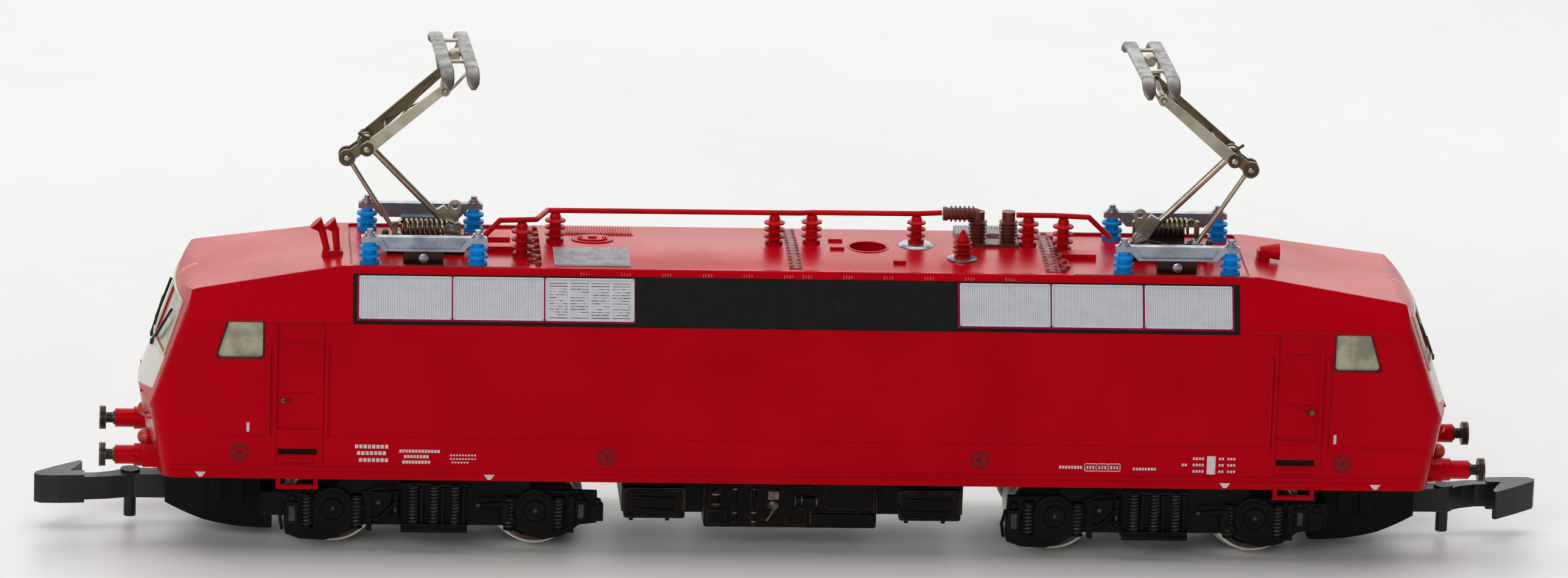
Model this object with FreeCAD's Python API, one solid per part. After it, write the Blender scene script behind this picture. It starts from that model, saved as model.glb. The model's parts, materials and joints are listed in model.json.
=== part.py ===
import FreeCAD, Part
import math
import os
from FreeCAD import Vector as V

# Z-gauge (1:220) model of a four-axle electric locomotive, in millimetres.
# Origin: on the rail surface under the middle of the model. +X is the front cab, +Z is up.
# The model is built for the front (+X) end; half a turn about Z gives the rear end.

# ---------------------------------------------------------------- driving dimensions
# body shell
half_width = 6.7            # vertical side wall
skirt_z = 5.06              # lower edge of the shell
shoulder_z = 15.4           # where the side wall starts to lean in
roof_half = 5.0             # half width of the flat roof
roof_z = 18.6
wall = 0.75                 # thickness of the shell
nose_x = 41.7               # foremost point of the nose, on the centreline
nose_z = 9.7                # height of the crease across the nose
nose_bow = 0.93             # how far the nose corners lie behind the centreline
nose_rake = 0.355           # backward lean of the windscreen, per unit of height
nose_tuck = 0.18            # backward lean below the crease
roof_break_x = 29.0         # where the roof starts to fall to the cab
roof_fall = 0.151
brow_r = 2.0                # rounding from windscreen to roof
corner_r = 0.9              # rounding from side to nose
# running gear
bogie_x = 22.9              # bogie centres from the middle
half_wheelbase = 6.4
axle_z = 3.1
flange_r = 3.1
tread_r = 2.74
keeper_z = 1.05             # upper face of the cover under the gears
swivel_play = 0.05
# gear train, module 0.25
module = 0.25
wheel_teeth = 14
idler_teeth = 12
worm_r = 1.0                # pitch radius of the worm
gear_play = 0.03            # taken off each flank
bore_play = 0.05
# buffers and couplers
buffer_face_x = 44.1
buffer_y = 4.0
buffer_z = 5.73
lamp_z = 6.65
coupler_pivot_x = 36.6
coupler_tip_x = 48.2
# pantographs
panto_x = 23.85             # middle of each pantograph
well_z = 18.48              # roof level under the pantographs
arm_foot = (-1.95, 19.6)    # lower arm pivot, X from panto_x and height
elbow = (3.65, 25.3)
tail_pivot = (4.85, 24.4)
rod_foot = (1.55, 19.2)
head_pivot = (-1.15, 29.5)
rail_ear_z, rail_top_z, rail_web_z = 19.92, 20.3, 19.38   # underside of the ears, top, underside of the web
post_x = 3.4                # pantograph insulators, from the middle of the pantograph
pan_roll = 5.8              # how far the pans hang askew, in degrees, far end up
spring_foot_z = 18.85       # top of the plate that carries the pivots and the spring

# ---------------------------------------------------------------- worked-out values
wheel_pitch_r = module * wheel_teeth / 2
idler_pitch_r = module * idler_teeth / 2
idler_dx = half_wheelbase / 2
idler_dz = math.sqrt((wheel_pitch_r + idler_pitch_r) ** 2 - idler_dx ** 2)
worm_wheel_z = axle_z + 2 * wheel_pitch_r
shaft_z = worm_wheel_z + wheel_pitch_r + worm_r
worm_lead = math.pi * module
UP = V(0, 0, 1)


# ---------------------------------------------------------------- helpers
def box(x0, x1, y0, y1, z0, z1):
    return Part.makeBox(x1 - x0, y1 - y0, z1 - z0, V(x0, y0, z0))


def bar(start, end, radius):
    start, end = V(*start), V(*end)
    return Part.makeCylinder(radius, start.distanceToPoint(end), start, end - start)


def cone(start, end, r_start, r_end):
    start, end = V(*start), V(*end)
    return Part.makeCone(r_start, r_end, start.distanceToPoint(end), start, end - start)


def ball(centre, radius):
    return Part.makeSphere(radius, V(*centre))


def prism(points, direction):
    corners = [V(*p) for p in points]
    return Part.Face(Part.makePolygon(corners + corners[:1])).extrude(V(*direction))


def plate_xz(points, y0, y1):
    """A plate with an outline in X and Z, from y0 to y1."""
    return prism([(x, y0, z) for x, z in points], (0, y1 - y0, 0))


def plate_xy(points, z0, z1):
    return prism([(x, y, z0) for x, y in points], (0, 0, z1 - z0))


def turned_profile(points, x, y, z):
    """A solid of revolution about a vertical axis from (radius, height) points."""
    outline = [V(0, 0, points[0][1])] + [V(r, 0, h) for r, h in points] + [V(0, 0, points[-1][1])]
    solid = Part.Face(Part.makePolygon(outline + outline[:1])).revolve(V(0, 0, 0), UP, 360)
    solid.translate(V(x, y, z))
    return solid


def fuse(*shapes):
    joined = shapes[0].multiFuse(list(shapes[1:])) if len(shapes) > 1 else shapes[0]
    return joined.removeSplitter()


def group(*shapes):
    return Part.makeCompound(list(shapes))


def half_turn(shape):
    other = shape.copy()
    other.rotate(V(0, 0, 0), UP, 180)
    return other


def mirror_y(shape):
    return shape.mirror(V(0, 0, 0), V(0, 1, 0))


def both_ends(shape):
    return [shape, half_turn(shape)]


def moved(shape, x=0, y=0, z=0):
    other = shape.copy()
    other.translate(V(x, y, z))
    return other


def rounded(solid, radius, direction):
    """Round the edges of a prism that run along a direction."""
    axis = V(*direction)
    edges = [e for e in solid.Edges
             if e.Curve.TypeId == "Part::GeomLine" and abs(e.tangentAt(e.FirstParameter).dot(axis)) > 0.999]
    return solid.makeFillet(radius, edges)


# ---------------------------------------------------------------- body shell
def brow_points(inset):
    """The arc from the cab roof to the windscreen: its start, middle and end in X and Z."""
    roof_len = math.hypot(roof_fall, 1)
    face_len = math.hypot(1, nose_rake)
    roof_n = (roof_fall / roof_len, 1 / roof_len)
    face_n = (1 / face_len, nose_rake / face_len)
    roof_d = roof_n[0] * roof_break_x + roof_n[1] * (roof_z - inset) - brow_r
    face_d = face_n[0] * (nose_x + 0.03 - inset) + face_n[1] * nose_z - brow_r
    det = roof_n[0] * face_n[1] - roof_n[1] * face_n[0]
    cx = (roof_d * face_n[1] - roof_n[1] * face_d) / det
    cz = (roof_n[0] * face_d - roof_d * face_n[0]) / det
    mid = V(roof_n[0] + face_n[0], 0, roof_n[1] + face_n[1]).normalize()
    return [(cx + n[0] * brow_r, cz + n[1] * brow_r) for n in (roof_n, (mid.x, mid.z), face_n)]


def side_outline(inset):
    """The body seen from the side, as a slab: flat roof, falling cab roofs and round brows."""
    start, middle, end = brow_points(inset)
    floor_z = 2.0
    foot = (end[0] + nose_rake * (end[1] - floor_z), floor_z)
    reach = half_width + 2

    def at(point, side):
        return V(side * point[0], -reach, point[1])

    flat = (roof_break_x, roof_z - inset)
    edges = []
    for side in (1, -1):
        edges.append(Part.makeLine(at(foot, side), at(end, side)))
        edges.append(Part.Arc(at(end, side), at(middle, side), at(start, side)).toShape())
        edges.append(Part.makeLine(at(start, side), at(flat, side)))
    edges.append(Part.makeLine(at(flat, 1), at(flat, -1)))
    edges.append(Part.makeLine(at(foot, 1), at(foot, -1)))
    wire = Part.Wire(Part.__sortEdges__(edges))
    return Part.Face(wire).extrude(V(0, 2 * reach, 0))


def nose_region(inset):
    """Everything behind the front face: a bowed plan swept up and down along its two leans."""
    x, y, back = nose_x - inset, half_width, -60
    corner = x - nose_bow
    bow = Part.Arc(V(corner, -y, nose_z), V(x, 0, nose_z), V(corner, y, nose_z)).toShape()
    line = Part.makePolygon([V(corner, y, nose_z), V(back, y, nose_z),
                             V(back, -y, nose_z), V(corner, -y, nose_z)])
    plan = Part.Face(Part.Wire([bow] + line.Edges))
    return plan.extrude(V(-12 * nose_rake, 0, 12)).fuse(plan.extrude(V(-8 * nose_tuck, 0, -8)))


def body_blank(inset, floor_z):
    """The solid body, set in all round by a distance."""
    lean = math.atan((half_width - roof_half) / (roof_z - shoulder_z))
    side = half_width - inset
    shoulder = shoulder_z - inset * math.tan(lean / 2)
    top_half = roof_half - inset * math.tan((math.pi / 2 - lean) / 2)
    top = roof_z - inset
    section = [(-side, floor_z), (side, floor_z), (side, shoulder),
               (top_half, top), (-top_half, top), (-side, shoulder)]
    length = 60
    solid = prism([(-length, y, z) for y, z in section], (2 * length, 0, 0))
    nose = nose_region(inset)
    return solid.common(nose).common(half_turn(nose)).common(side_outline(inset))


def corner_edges(solid):
    """The long edges where the side walls meet the noses."""
    found = []
    for edge in solid.Edges:
        centre = edge.CenterOfMass
        if abs(abs(centre.y) - half_width) < 0.05 and abs(centre.x) > 38 and edge.Length > 1:
            found.append(edge)
    return found


side_window = [(33.85, 12.98), (36.85, 12.98), (36.1, 15.4), (33.85, 15.4)]
door_x0, door_x1 = 30.3, 32.95
door_z0, door_z1 = 8.35, 15.2
windscreen_z0, windscreen_z1 = 12.75, 16.0
selector_x, selector_r = 4.5, 1.17


def side_window_prism(play):
    """The opening of a cab side window, shrunk by a play all round."""
    (x0, z0), (x1, _), (x2, z1), (_, _) = side_window
    outline = [(x0 + play, z0 + play), (x1 - play, z0 + play), (x2 - play, z1 - play), (x0 + play, z1 - play)]
    return rounded(plate_xz(outline, 5.0, 8.0), 0.3, (0, 1, 0))


def windscreen_prism(play):
    """One of the two panes of the windscreen."""
    y_in, y_low, y_top = 0.17 + play, 5.05 - play, 4.7 - play
    z0, z1 = windscreen_z0 + play, windscreen_z1 - play
    pane = prism([(36.0, y_in, z0), (36.0, y_low, z0), (36.0, y_top, z1), (36.0, y_in, z1)], (7, 0, 0))
    return rounded(pane, 0.35, (1, 0, 0))


def cab_openings(play):
    pieces = [side_window_prism(play), windscreen_prism(play)]
    return pieces + [mirror_y(p) for p in pieces]


def buffer_sleeve():
    y = buffer_y
    sleeve = bar((39.0, y, buffer_z), (43.1, y, buffer_z), 0.6)
    root = bar((39.0, y, buffer_z), (41.9, y, buffer_z), 0.72)
    foot = rounded(box(39.4, 41.35, y - 0.8, y + 0.8, skirt_z, 6.3), 0.3, (1, 0, 0))
    return fuse(sleeve, root, foot)


def door_trim():
    """Handrails beside the door, the lip under the step slot and the hanging step."""
    y = half_width
    rail_x = [door_x0 - 0.45, door_x1 + 0.55]
    rails = [box(x - 0.12, x + 0.12, y - 0.1, y + 0.15, 7.85, 13.8) for x in rail_x]
    lip = box(door_x0 + 0.35, door_x1 - 0.35, y - 0.1, y + 0.12, 6.2, 6.42)
    legs = [box(x, x + 0.28, y - 0.4, y - 0.08, 4.36, skirt_z + 0.2) for x in (door_x0, door_x1 - 0.28)]
    tread = box(door_x0, door_x1, y - 0.4, y - 0.08, 4.36, 4.62)
    return rails + [lip] + legs + [tread]


def shell_cuts():
    """Door recess and step slot on one side of the front cab."""
    y = half_width
    door = rounded(box(door_x0, door_x1, y - 0.12, y + 1, door_z0, door_z1), 0.15, (0, 1, 0))
    slot = box(door_x0 + 0.1, door_x1 - 0.1, y - 0.5, y + 1, 6.63, 7.05)
    return [door, slot]


def roof_panel():
    """The raised, gently arched middle of the roof."""
    half_x, half_y, rise = 16.4, 4.72, 0.26
    crown = V(-half_x, 0, roof_z + rise)
    arc = Part.Arc(V(-half_x, -half_y, roof_z), crown, V(-half_x, half_y, roof_z)).toShape()
    base = Part.makePolygon([V(-half_x, half_y, roof_z), V(-half_x, half_y, roof_z - 0.3),
                             V(-half_x, -half_y, roof_z - 0.3), V(-half_x, -half_y, roof_z)])
    return Part.Face(Part.Wire([arc] + base.Edges)).extrude(V(2 * half_x, 0, 0))


def body_shell():
    outer = body_blank(0, skirt_z)
    outer = outer.makeFillet(corner_r, corner_edges(outer))
    shell = outer.cut(body_blank(wall, skirt_z - 3))
    adds = [roof_panel()]
    cuts = [bar((selector_x, 0, 14), (selector_x, 0, 22), selector_r)]
    for side_piece in door_trim() + [buffer_sleeve()]:
        adds += both_ends(side_piece) + both_ends(mirror_y(side_piece))
    well = box(17.2, 28.4, -4.7, 4.7, well_z, roof_z + 1)
    cuts += both_ends(well)
    for side_piece in shell_cuts() + cab_openings(0):
        cuts += both_ends(side_piece)
    for side_piece in shell_cuts():
        cuts += both_ends(mirror_y(side_piece))
    # ribs that grip the chassis
    for x in (-33, -14, 14, 33):
        for side in (-1, 1):
            y = sorted((side * 5.3, side * (half_width - wall / 2)))
            adds.append(box(x - 0.5, x + 0.5, y[0], y[1], 6.4, 11.4))
    shell = shell.multiFuse(adds)
    inside = body_blank(wall, skirt_z - 3)
    # nothing of the sleeves shows inside, and the wells stay closed
    sleeve_ends = box(30, 60, -6, 6, skirt_z, 7).common(inside)
    cuts += both_ends(sleeve_ends)
    return shell.cut(Part.makeCompound(cuts)).removeSplitter()


def cab_glazing():
    """One clear moulding behind the windows of the front cab, with panes that fill the openings."""
    play = 0.03
    liner = body_blank(wall, 12.2).cut(body_blank(wall + 0.35, 11))
    liner = liner.common(box(33.0, 42.0, -7, 7, 12.2, 16.6))
    blank = body_blank(0.12, skirt_z)
    core = body_blank(wall, skirt_z)
    panes = [pane.common(blank).cut(core) for pane in cab_openings(play)]
    return fuse(liner, *panes)


# ---------------------------------------------------------------- small body fittings
def buffer_head():
    y, z = buffer_y, buffer_z
    shank = bar((42.6, y, z), (43.72, y, z), 0.34)
    head = bar((43.68, y, z), (buffer_face_x, y, z), 0.75)
    collar = bar((43.1, y, z), (43.22, y, z), 0.45)
    return fuse(shank, head, collar)


def headlamps():
    """The domed lamp of one side of a nose and the small lens beside it."""
    def on_nose(y):
        return nose_x - nose_bow * (y / half_width) ** 2 - nose_tuck * (nose_z - lamp_z)
    dome_y, small_y = 3.05, 2.0
    dome_r = 0.52
    dome_x = on_nose(dome_y) + 0.22
    dome = fuse(bar((dome_x - 0.55, dome_y, lamp_z), (dome_x, dome_y, lamp_z), dome_r),
                ball((dome_x, dome_y, lamp_z), dome_r))
    small = bar((on_nose(small_y) - 0.35, small_y, lamp_z), (on_nose(small_y) + 0.12, small_y, lamp_z), 0.32)
    return [dome, small]


def top_lamp():
    """The lamp over the windscreen, flush with the brow."""
    return bar((38.0, 0, 16.95), (40.0, 0, 16.95), 0.42).common(body_blank(0, skirt_z))


def wiper():
    """Arm and blade lying on one pane of the windscreen."""
    def on_glass(y, z, proud):
        return (nose_x - nose_bow * (y / half_width) ** 2 - nose_rake * (z - nose_z) + proud, y, z)
    arm = bar(on_glass(0.9, 12.3, 0.12), on_glass(2.9, 14.2, 0.2), 0.09)
    blade = bar(on_glass(2.0, 13.0, 0.16), on_glass(3.6, 15.2, 0.16), 0.09)
    hub = bar(on_glass(0.9, 12.3, -0.15), on_glass(0.9, 12.3, 0.2), 0.2)
    return fuse(arm, blade, hub)


def twin_horn():
    """Two trumpets that stand on the rear cab roof, their bells turned up and back."""
    y = -2.1
    base = box(-30.2, -28.9, y - 0.45, y + 0.45, 18.2, 18.85)
    trumpets = []
    for x, lean in ((-29.25, 0.15), (-29.85, 0.4)):
        bend = (x - lean, y, 20.15)
        mouth = (x - lean - 0.4, y, 20.6)
        trumpets += [cone((x, y, 18.6), bend, 0.2, 0.24), ball(bend, 0.26), cone(bend, mouth, 0.24, 0.5)]
    return fuse(base, *trumpets)


def short_horn():
    """A single trumpet that points forward on the front cab roof."""
    y, z = -0.5, 19.05
    base = box(29.35, 30.1, y - 0.45, y + 0.45, 18.2, 19.2)
    return fuse(base, cone((29.5, y, z), (30.75, y, z), 0.34, 0.55))


# ---------------------------------------------------------------- roof equipment
insulator_places = [(-17.6, -1.9), (-15.4, 0.5), (-1.45, 0.6), (0.95, 0.9), (14.8, 1.1), (17.0, 0.75)]
terminal_place = (7.6, 0.6)
arrester_place = (10.35, -2.2)
breaker_posts = [11.55, 13.5]
breaker_y = 0.95
line_z = 20.66


def roof_level(x):
    return roof_z + 0.2 if abs(x) < 16.4 else (roof_z if abs(x) < 17.2 else well_z)


def ribbed_post(x, y, z0, z1, core_r, skirt_r, skirts):
    """A post insulator: a stepped foot, then evenly spaced skirts, then a small cap."""
    height = z1 - z0
    points = [(skirt_r * 0.85, 0), (skirt_r * 0.85, 0.12 * height), (core_r, 0.14 * height)]
    zone = 0.72 * height
    step = zone / skirts
    for i in range(skirts):
        low = 0.16 * height + i * step
        points += [(core_r, low + 0.25 * step), (skirt_r, low + 0.4 * step)]
        points += [(skirt_r, low + 0.62 * step), (core_r, low + 0.85 * step)]
    points += [(core_r, 0.92 * height), (core_r * 0.8, height)]
    return turned_profile(points, x, y, z0)


def roof_insulators():
    posts = []
    for x, y in insulator_places:
        posts.append(ribbed_post(x, y, roof_level(x), line_z, 0.36, 0.66, 3))
    posts.append(ribbed_post(*terminal_place, roof_level(7.6) + 0.22, line_z + 0.1, 0.34, 0.6, 3))
    x, y = arrester_place
    arrester = ribbed_post(x, y, roof_level(x) + 0.1, 20.15, 0.3, 0.62, 3)
    posts.append(fuse(arrester, cone((x, y, 20.0), (x, y, 20.7), 0.46, 0.08)))
    return group(*posts)


def bent_wire(route, radius):
    """Round wire with straight runs between the points of its route."""
    runs = [bar(start, end, radius) for start, end in zip(route, route[1:])]
    return fuse(*runs, *[ball(point, radius) for point in route[1:-1]])


def roof_conductor():
    """The bus bar along the roof, in front of and behind the breaker, with a drop to each pantograph."""
    near_y, mid_y, top = -1.9, 0.6, line_z + 0.17
    rear_run = [(-20.2, near_y, 19.55), (-19.0, near_y, top), (-16.7, near_y + 0.3, top), (-15.9, mid_y, top),
                (0.2, mid_y + 0.15, top), (0.95, mid_y + 0.3, top), (7.6, mid_y, top + 0.1),
                (9.2, mid_y + 0.3, top + 0.1)]
    front_run = [(14.0, breaker_y, top), (16.4, breaker_y, top), (18.6, breaker_y - 0.3, top),
                 (20.0, breaker_y - 0.4, 19.5)]
    return group(bent_wire(rear_run, 0.17), bent_wire(front_run, 0.17))


def main_breaker():
    """Base plate, two ribbed posts and the ribbed interrupter lying between the line and the first post."""
    z0 = roof_z + 0.1
    base = box(11.0, 14.2, breaker_y - 0.7, breaker_y + 0.7, z0, z0 + 0.35)
    posts = [ribbed_post(x, breaker_y, z0 + 0.2, line_z + 0.05, 0.4, 0.6, 6) for x in breaker_posts]
    caps = [bar((x, breaker_y, line_z - 0.1), (x, breaker_y, line_z + 0.4), 0.42) for x in breaker_posts]
    barrel = ribbed_post(0, 0, 0, 2.35, 0.38, 0.52, 6)
    barrel.rotate(V(0, 0, 0), V(0, 1, 0), 90)
    barrel.translate(V(9.3, breaker_y, line_z + 0.2))
    return fuse(base, *posts, *caps, barrel)


def terminal_base():
    x, y = terminal_place
    z = roof_level(x)
    points = [(1.12, -0.1), (1.12, 0.08), (0.95, 0.2), (0.5, 0.22)]
    return turned_profile(points, x, y, z)


def selector_screw():
    """The slotted change-over screw in the roof hole."""
    head = bar((selector_x, 0, 17.2), (selector_x, 0, 18.1), 0.95)
    stem = bar((selector_x, 0, 13.4), (selector_x, 0, 17.4), 0.5)
    slot = box(selector_x - 1.2, selector_x + 1.2, -0.16, 0.16, 17.75, 18.5)
    return fuse(head, stem).cut(slot)


# ---------------------------------------------------------------- pantographs
def panto_base():
    """Two side rails on four insulators, the cross beam with its mounts, and the pivot brackets."""
    outline = [(-3.95, rail_ear_z), (-3.0, rail_ear_z), (-2.5, rail_web_z), (2.5, rail_web_z),
               (3.0, rail_ear_z), (3.95, rail_ear_z), (3.95, rail_top_z), (-3.95, rail_top_z)]
    recess = [(-2.65, rail_top_z - 0.17), (-2.25, rail_web_z + 0.15), (2.25, rail_web_z + 0.15),
              (2.65, rail_top_z - 0.17)]
    rail = plate_xz(outline, 3.72, 4.28).cut(plate_xz(recess, 4.12, 5))
    nuts = []
    for x in (-post_x, post_x):
        nuts.append(fuse(bar((x, 4, rail_top_z - 0.1), (x, 4, rail_top_z + 0.22), 0.32),
                         bar((x, 4, rail_top_z), (x, 4, rail_top_z + 0.45), 0.2)))
    mount = box(-1.25, 1.25, 3.45, 4.1, well_z, rail_web_z + 0.1)
    screw = bar((0, 4.0, 18.95), (0, 4.28, 18.95), 0.3)
    side = fuse(rail, mount, screw, *nuts)
    beam = box(-1.1, 1.1, -3.5, 3.5, well_z, 18.8)
    plate = box(-2.65, 2.25, -1.1, 1.75, well_z, spring_foot_z)
    brackets = []
    for (x, z), reach in ((arm_foot, 0.42), (rod_foot, 0.34)):
        for y in (-0.62, 0.3):
            brackets.append(box(x - reach, x + reach, y, y + 0.32, 18.7, z))
            brackets.append(bar((x, y, z), (x, y + 0.32, z), reach))
    pins = [bar((arm_foot[0], -0.75, arm_foot[1]), (arm_foot[0], 0.75, arm_foot[1]), 0.2),
            bar((rod_foot[0], -0.7, rod_foot[1]), (rod_foot[0], 0.7, rod_foot[1]), 0.14)]
    return moved(fuse(side, mirror_y(side), beam, plate, *brackets, *pins), panto_x)


def panto_insulators():
    """The four posts under the rails, each with a foot and two skirts."""
    top = rail_ear_z - well_z
    points = [(0.62, 0), (0.62, 0.22), (0.42, 0.32), (0.42, 0.42), (0.66, 0.52), (0.66, 0.68),
              (0.42, 0.78), (0.42, 0.9), (0.64, 1.0), (0.64, 1.16), (0.36, 1.24), (0.36, top)]
    posts = []
    for x in (-post_x, post_x):
        for y in (-4.0, 4.0):
            posts.append(turned_profile(points, panto_x + x, y, well_z))
    return group(*posts)


def panto_spring():
    """The raising spring beside the lower arm, shown by its outer and inner diameters, between two posts."""
    y, z = 1.25, 20.15
    coil = bar((-1.5, y, z), (1.3, y, z), 0.5).cut(bar((-2, y, z), (2, y, z), 0.34))
    hooks = [bar((-2.2, y, z), (-1.4, y, z + 0.4), 0.1), bar((1.2, y, z + 0.4), (1.75, y, z), 0.1)]
    posts = [box(x - 0.2, x + 0.2, y - 0.15, y + 0.15, spring_foot_z, z + 0.15) for x in (-2.2, 1.75)]
    return moved(fuse(coil, *hooks, *posts), panto_x)


def link(start, end, y, radius):
    return bar((start[0], y, start[1]), (end[0], y, end[1]), radius)


def lower_arm():
    half = 0.24
    holes = [bar((p[0], -2, p[1]), (p[0], 2, p[1]), 0.25) for p in (arm_foot, elbow)]
    eyes = [bar((p[0], -half, p[1]), (p[0], half, p[1]), r) for p, r in ((arm_foot, 0.52), (elbow, 0.5))]
    shaft = link(arm_foot, elbow, 0, 0.22)
    foot = plate_xz([(-2.35, 19.9), (-1.55, 19.55), (-0.75, 20.9), (-1.35, 21.25)], -half, half)
    lug = fuse(bar((-2.05, -0.12, 21.2), (-2.05, 0.12, 21.2), 0.42),
               plate_xz([(-2.45, 21.2), (-2.2, 19.8), (-1.5, 19.9), (-1.6, 21.2)], -0.12, 0.12))
    ring_hole = bar((-2.05, -1, 21.2), (-2.05, 1, 21.2), 0.2)
    return moved(fuse(shaft, foot, lug, *eyes).cut(group(*holes, ring_hole)), panto_x)


def coupling_rod():
    half = 0.16
    holes = [bar((rod_foot[0], -2, rod_foot[1]), (rod_foot[0], 2, rod_foot[1]), 0.19),
             bar((tail_pivot[0], -2, tail_pivot[1]), (tail_pivot[0], 2, tail_pivot[1]), 0.24)]
    eyes = [bar((p[0], -half, p[1]), (p[0], half, p[1]), r) for p, r in ((rod_foot, 0.32), (tail_pivot, 0.4))]
    return moved(fuse(link(rod_foot, tail_pivot, 0, 0.15), *eyes).cut(group(*holes)), panto_x)


def strap_section(point, y, half):
    """The upright rectangle at one end of an upper arm bar, across the line from elbow to head."""
    x, z = point
    along = V(head_pivot[0] - elbow[0], 0, head_pivot[1] - elbow[1]).normalize()
    dx, dz = -along.z * half, along.x * half
    corners = [V(x + dx, y - 0.11, z + dz), V(x - dx, y - 0.11, z - dz),
               V(x - dx, y + 0.11, z - dz), V(x + dx, y + 0.11, z + dz)]
    return Part.makePolygon(corners + corners[:1])


def upper_arm():
    """Elbow cheeks with the tail, two splayed bars and the cross shafts."""
    cheeks = []
    for y in (-0.54, 0.3):
        tail = plate_xz([(elbow[0] - 0.2, elbow[1] - 0.28), (tail_pivot[0] - 0.2, tail_pivot[1] - 0.28),
                         (tail_pivot[0] + 0.2, tail_pivot[1] + 0.28), (elbow[0] + 0.2, elbow[1] + 0.28)],
                        y, y + 0.24)
        cheeks += [tail, bar((elbow[0], y, elbow[1]), (elbow[0], y + 0.24, elbow[1]), 0.56)]
        cheeks.append(bar((tail_pivot[0], y, tail_pivot[1]), (tail_pivot[0], y + 0.24, tail_pivot[1]), 0.54))
    shafts = [bar((elbow[0], -1.75, elbow[1]), (elbow[0], 1.75, elbow[1]), 0.2),
              bar((tail_pivot[0], -0.62, tail_pivot[1]), (tail_pivot[0], 0.62, tail_pivot[1]), 0.12),
              bar((head_pivot[0], -3.1, head_pivot[1]), (head_pivot[0], 3.1, head_pivot[1]), 0.15)]
    bars = []
    for side in (-1, 1):
        root_y, tip_y = side * 1.6, side * 2.3
        root = strap_section(elbow, root_y, 0.4)
        tip = strap_section(head_pivot, tip_y, 0.28)
        bars.append(Part.makeLoft([root, tip], True, True))
        for (x, z), y, radius in ((elbow, root_y, 0.4), (head_pivot, tip_y, 0.3)):
            bars.append(bar((x, y - 0.13, z), (x, y + 0.13, z), radius))
    stay = bar((elbow[0] - 1.2, -1.75, elbow[1] + 1.05), (elbow[0] - 1.2, 1.75, elbow[1] + 1.05), 0.12)
    return moved(fuse(*cheeks, *shafts, *bars, stay), panto_x)


def panto_head(roll):
    """Two contact strips with down-turned horns on two V-shaped carriers.

    The strips lean over towards the roof's middle, and lie a little askew, as bent by use: roll lifts
    the +Y end, in degrees, and yaw turns it towards -X.
    """
    x0, z0 = head_pivot
    lean_x, rise, yaw = -0.6, 1.75, 5.0
    centre = V(x0 + lean_x, 0, z0 + rise)
    strip_x, half_strip, thick = 0.8, 0.4, 0.26
    askew = FreeCAD.Rotation(V(0, 0, 1), yaw).multiply(FreeCAD.Rotation(V(1, 0, 0), roll))

    def placed(x, y, z):
        return centre + askew.multVec(V(x, y, z))

    pan = []
    for side in (-1, 1):
        sx = side * strip_x
        pan.append(rounded(box(sx - half_strip, sx + half_strip, -3.45, 3.45, 0, thick), 0.1, (0, 1, 0)))
        outline = [(3.3, 0), (3.3, 0.22), (3.9, 0.1), (4.25, -0.45), (4.35, -1.05),
                   (4.1, -1.1), (3.98, -0.55), (3.75, -0.16)]
        for end in (-1, 1):
            pan.append(prism([(sx - 0.3, end * y, z) for y, z in outline], (0.6, 0, 0)))
    for y in (-1.9, 1.9):
        pan.append(box(-strip_x, strip_x, y - 0.14, y + 0.14, 0.02, 0.2))
    pan = fuse(*pan)
    pan.Placement = FreeCAD.Placement(centre, askew)
    carriers = []
    for y in (-2.87, 2.87):
        carriers.append(bar((x0, y - 0.12, z0), (x0, y + 0.12, z0), 0.34))
        for side in (-1, 1):
            carriers.append(bar((x0, y, z0 - 0.12), tuple(placed(side * strip_x, y, 0.08)), 0.12))
    bores = bar((x0, -4, z0), (x0, 4, z0), 0.2)
    return moved(fuse(pan, *carriers).cut(bores), panto_x)


# ---------------------------------------------------------------- chassis
def chassis_block():
    """Cast block: floor, two side walls and the bulkheads that carry the motor shaft."""
    end_x, side_y, inner_y = 36.4, 5.3, 4.3
    floor_z, deck_z, top_z = 5.3, 6.3, 11.8
    parts = [box(-end_x, end_x, -side_y, side_y, floor_z, deck_z)]
    for side in (-1, 1):
        y = sorted((side * inner_y, side * side_y))
        parts.append(box(-end_x, end_x, y[0], y[1], floor_z, top_z))
    for x in (8.6, 18.9, 25.6, 35.4):
        for end in (-1, 1):
            xs = sorted((end * x, end * (x + 0.9)))
            parts.append(box(xs[0], xs[1], -side_y, side_y, floor_z, top_z))
    cuts = [box(-7.3, 7.3, -inner_y, inner_y, 0, deck_z + 1),
            bar((-30, 0, shaft_z), (30, 0, shaft_z), 0.45 + bore_play)]
    for end in (-1, 1):
        x = end * bogie_x
        cuts.append(bar((x, 0, 0), (x, 0, 8), 2.55 + swivel_play))
        cuts.append(box(x - 5.3, x + 5.3, -1.3, 1.3, 0, deck_z))
        for axle_x in (x - half_wheelbase, x + half_wheelbase):
            well = box(axle_x - 2.6, axle_x + 2.6, 1.9, side_y + 1, 0, 2 * flange_r + 0.25)
            cuts += [well, mirror_y(well)]
        # open tops above the worms and the ends
        cuts.append(box(min(end * 28, end * 34.6), max(end * 28, end * 34.6), -inner_y, inner_y, deck_z, 20))
    return fuse(*parts).cut(group(*cuts))


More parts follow.
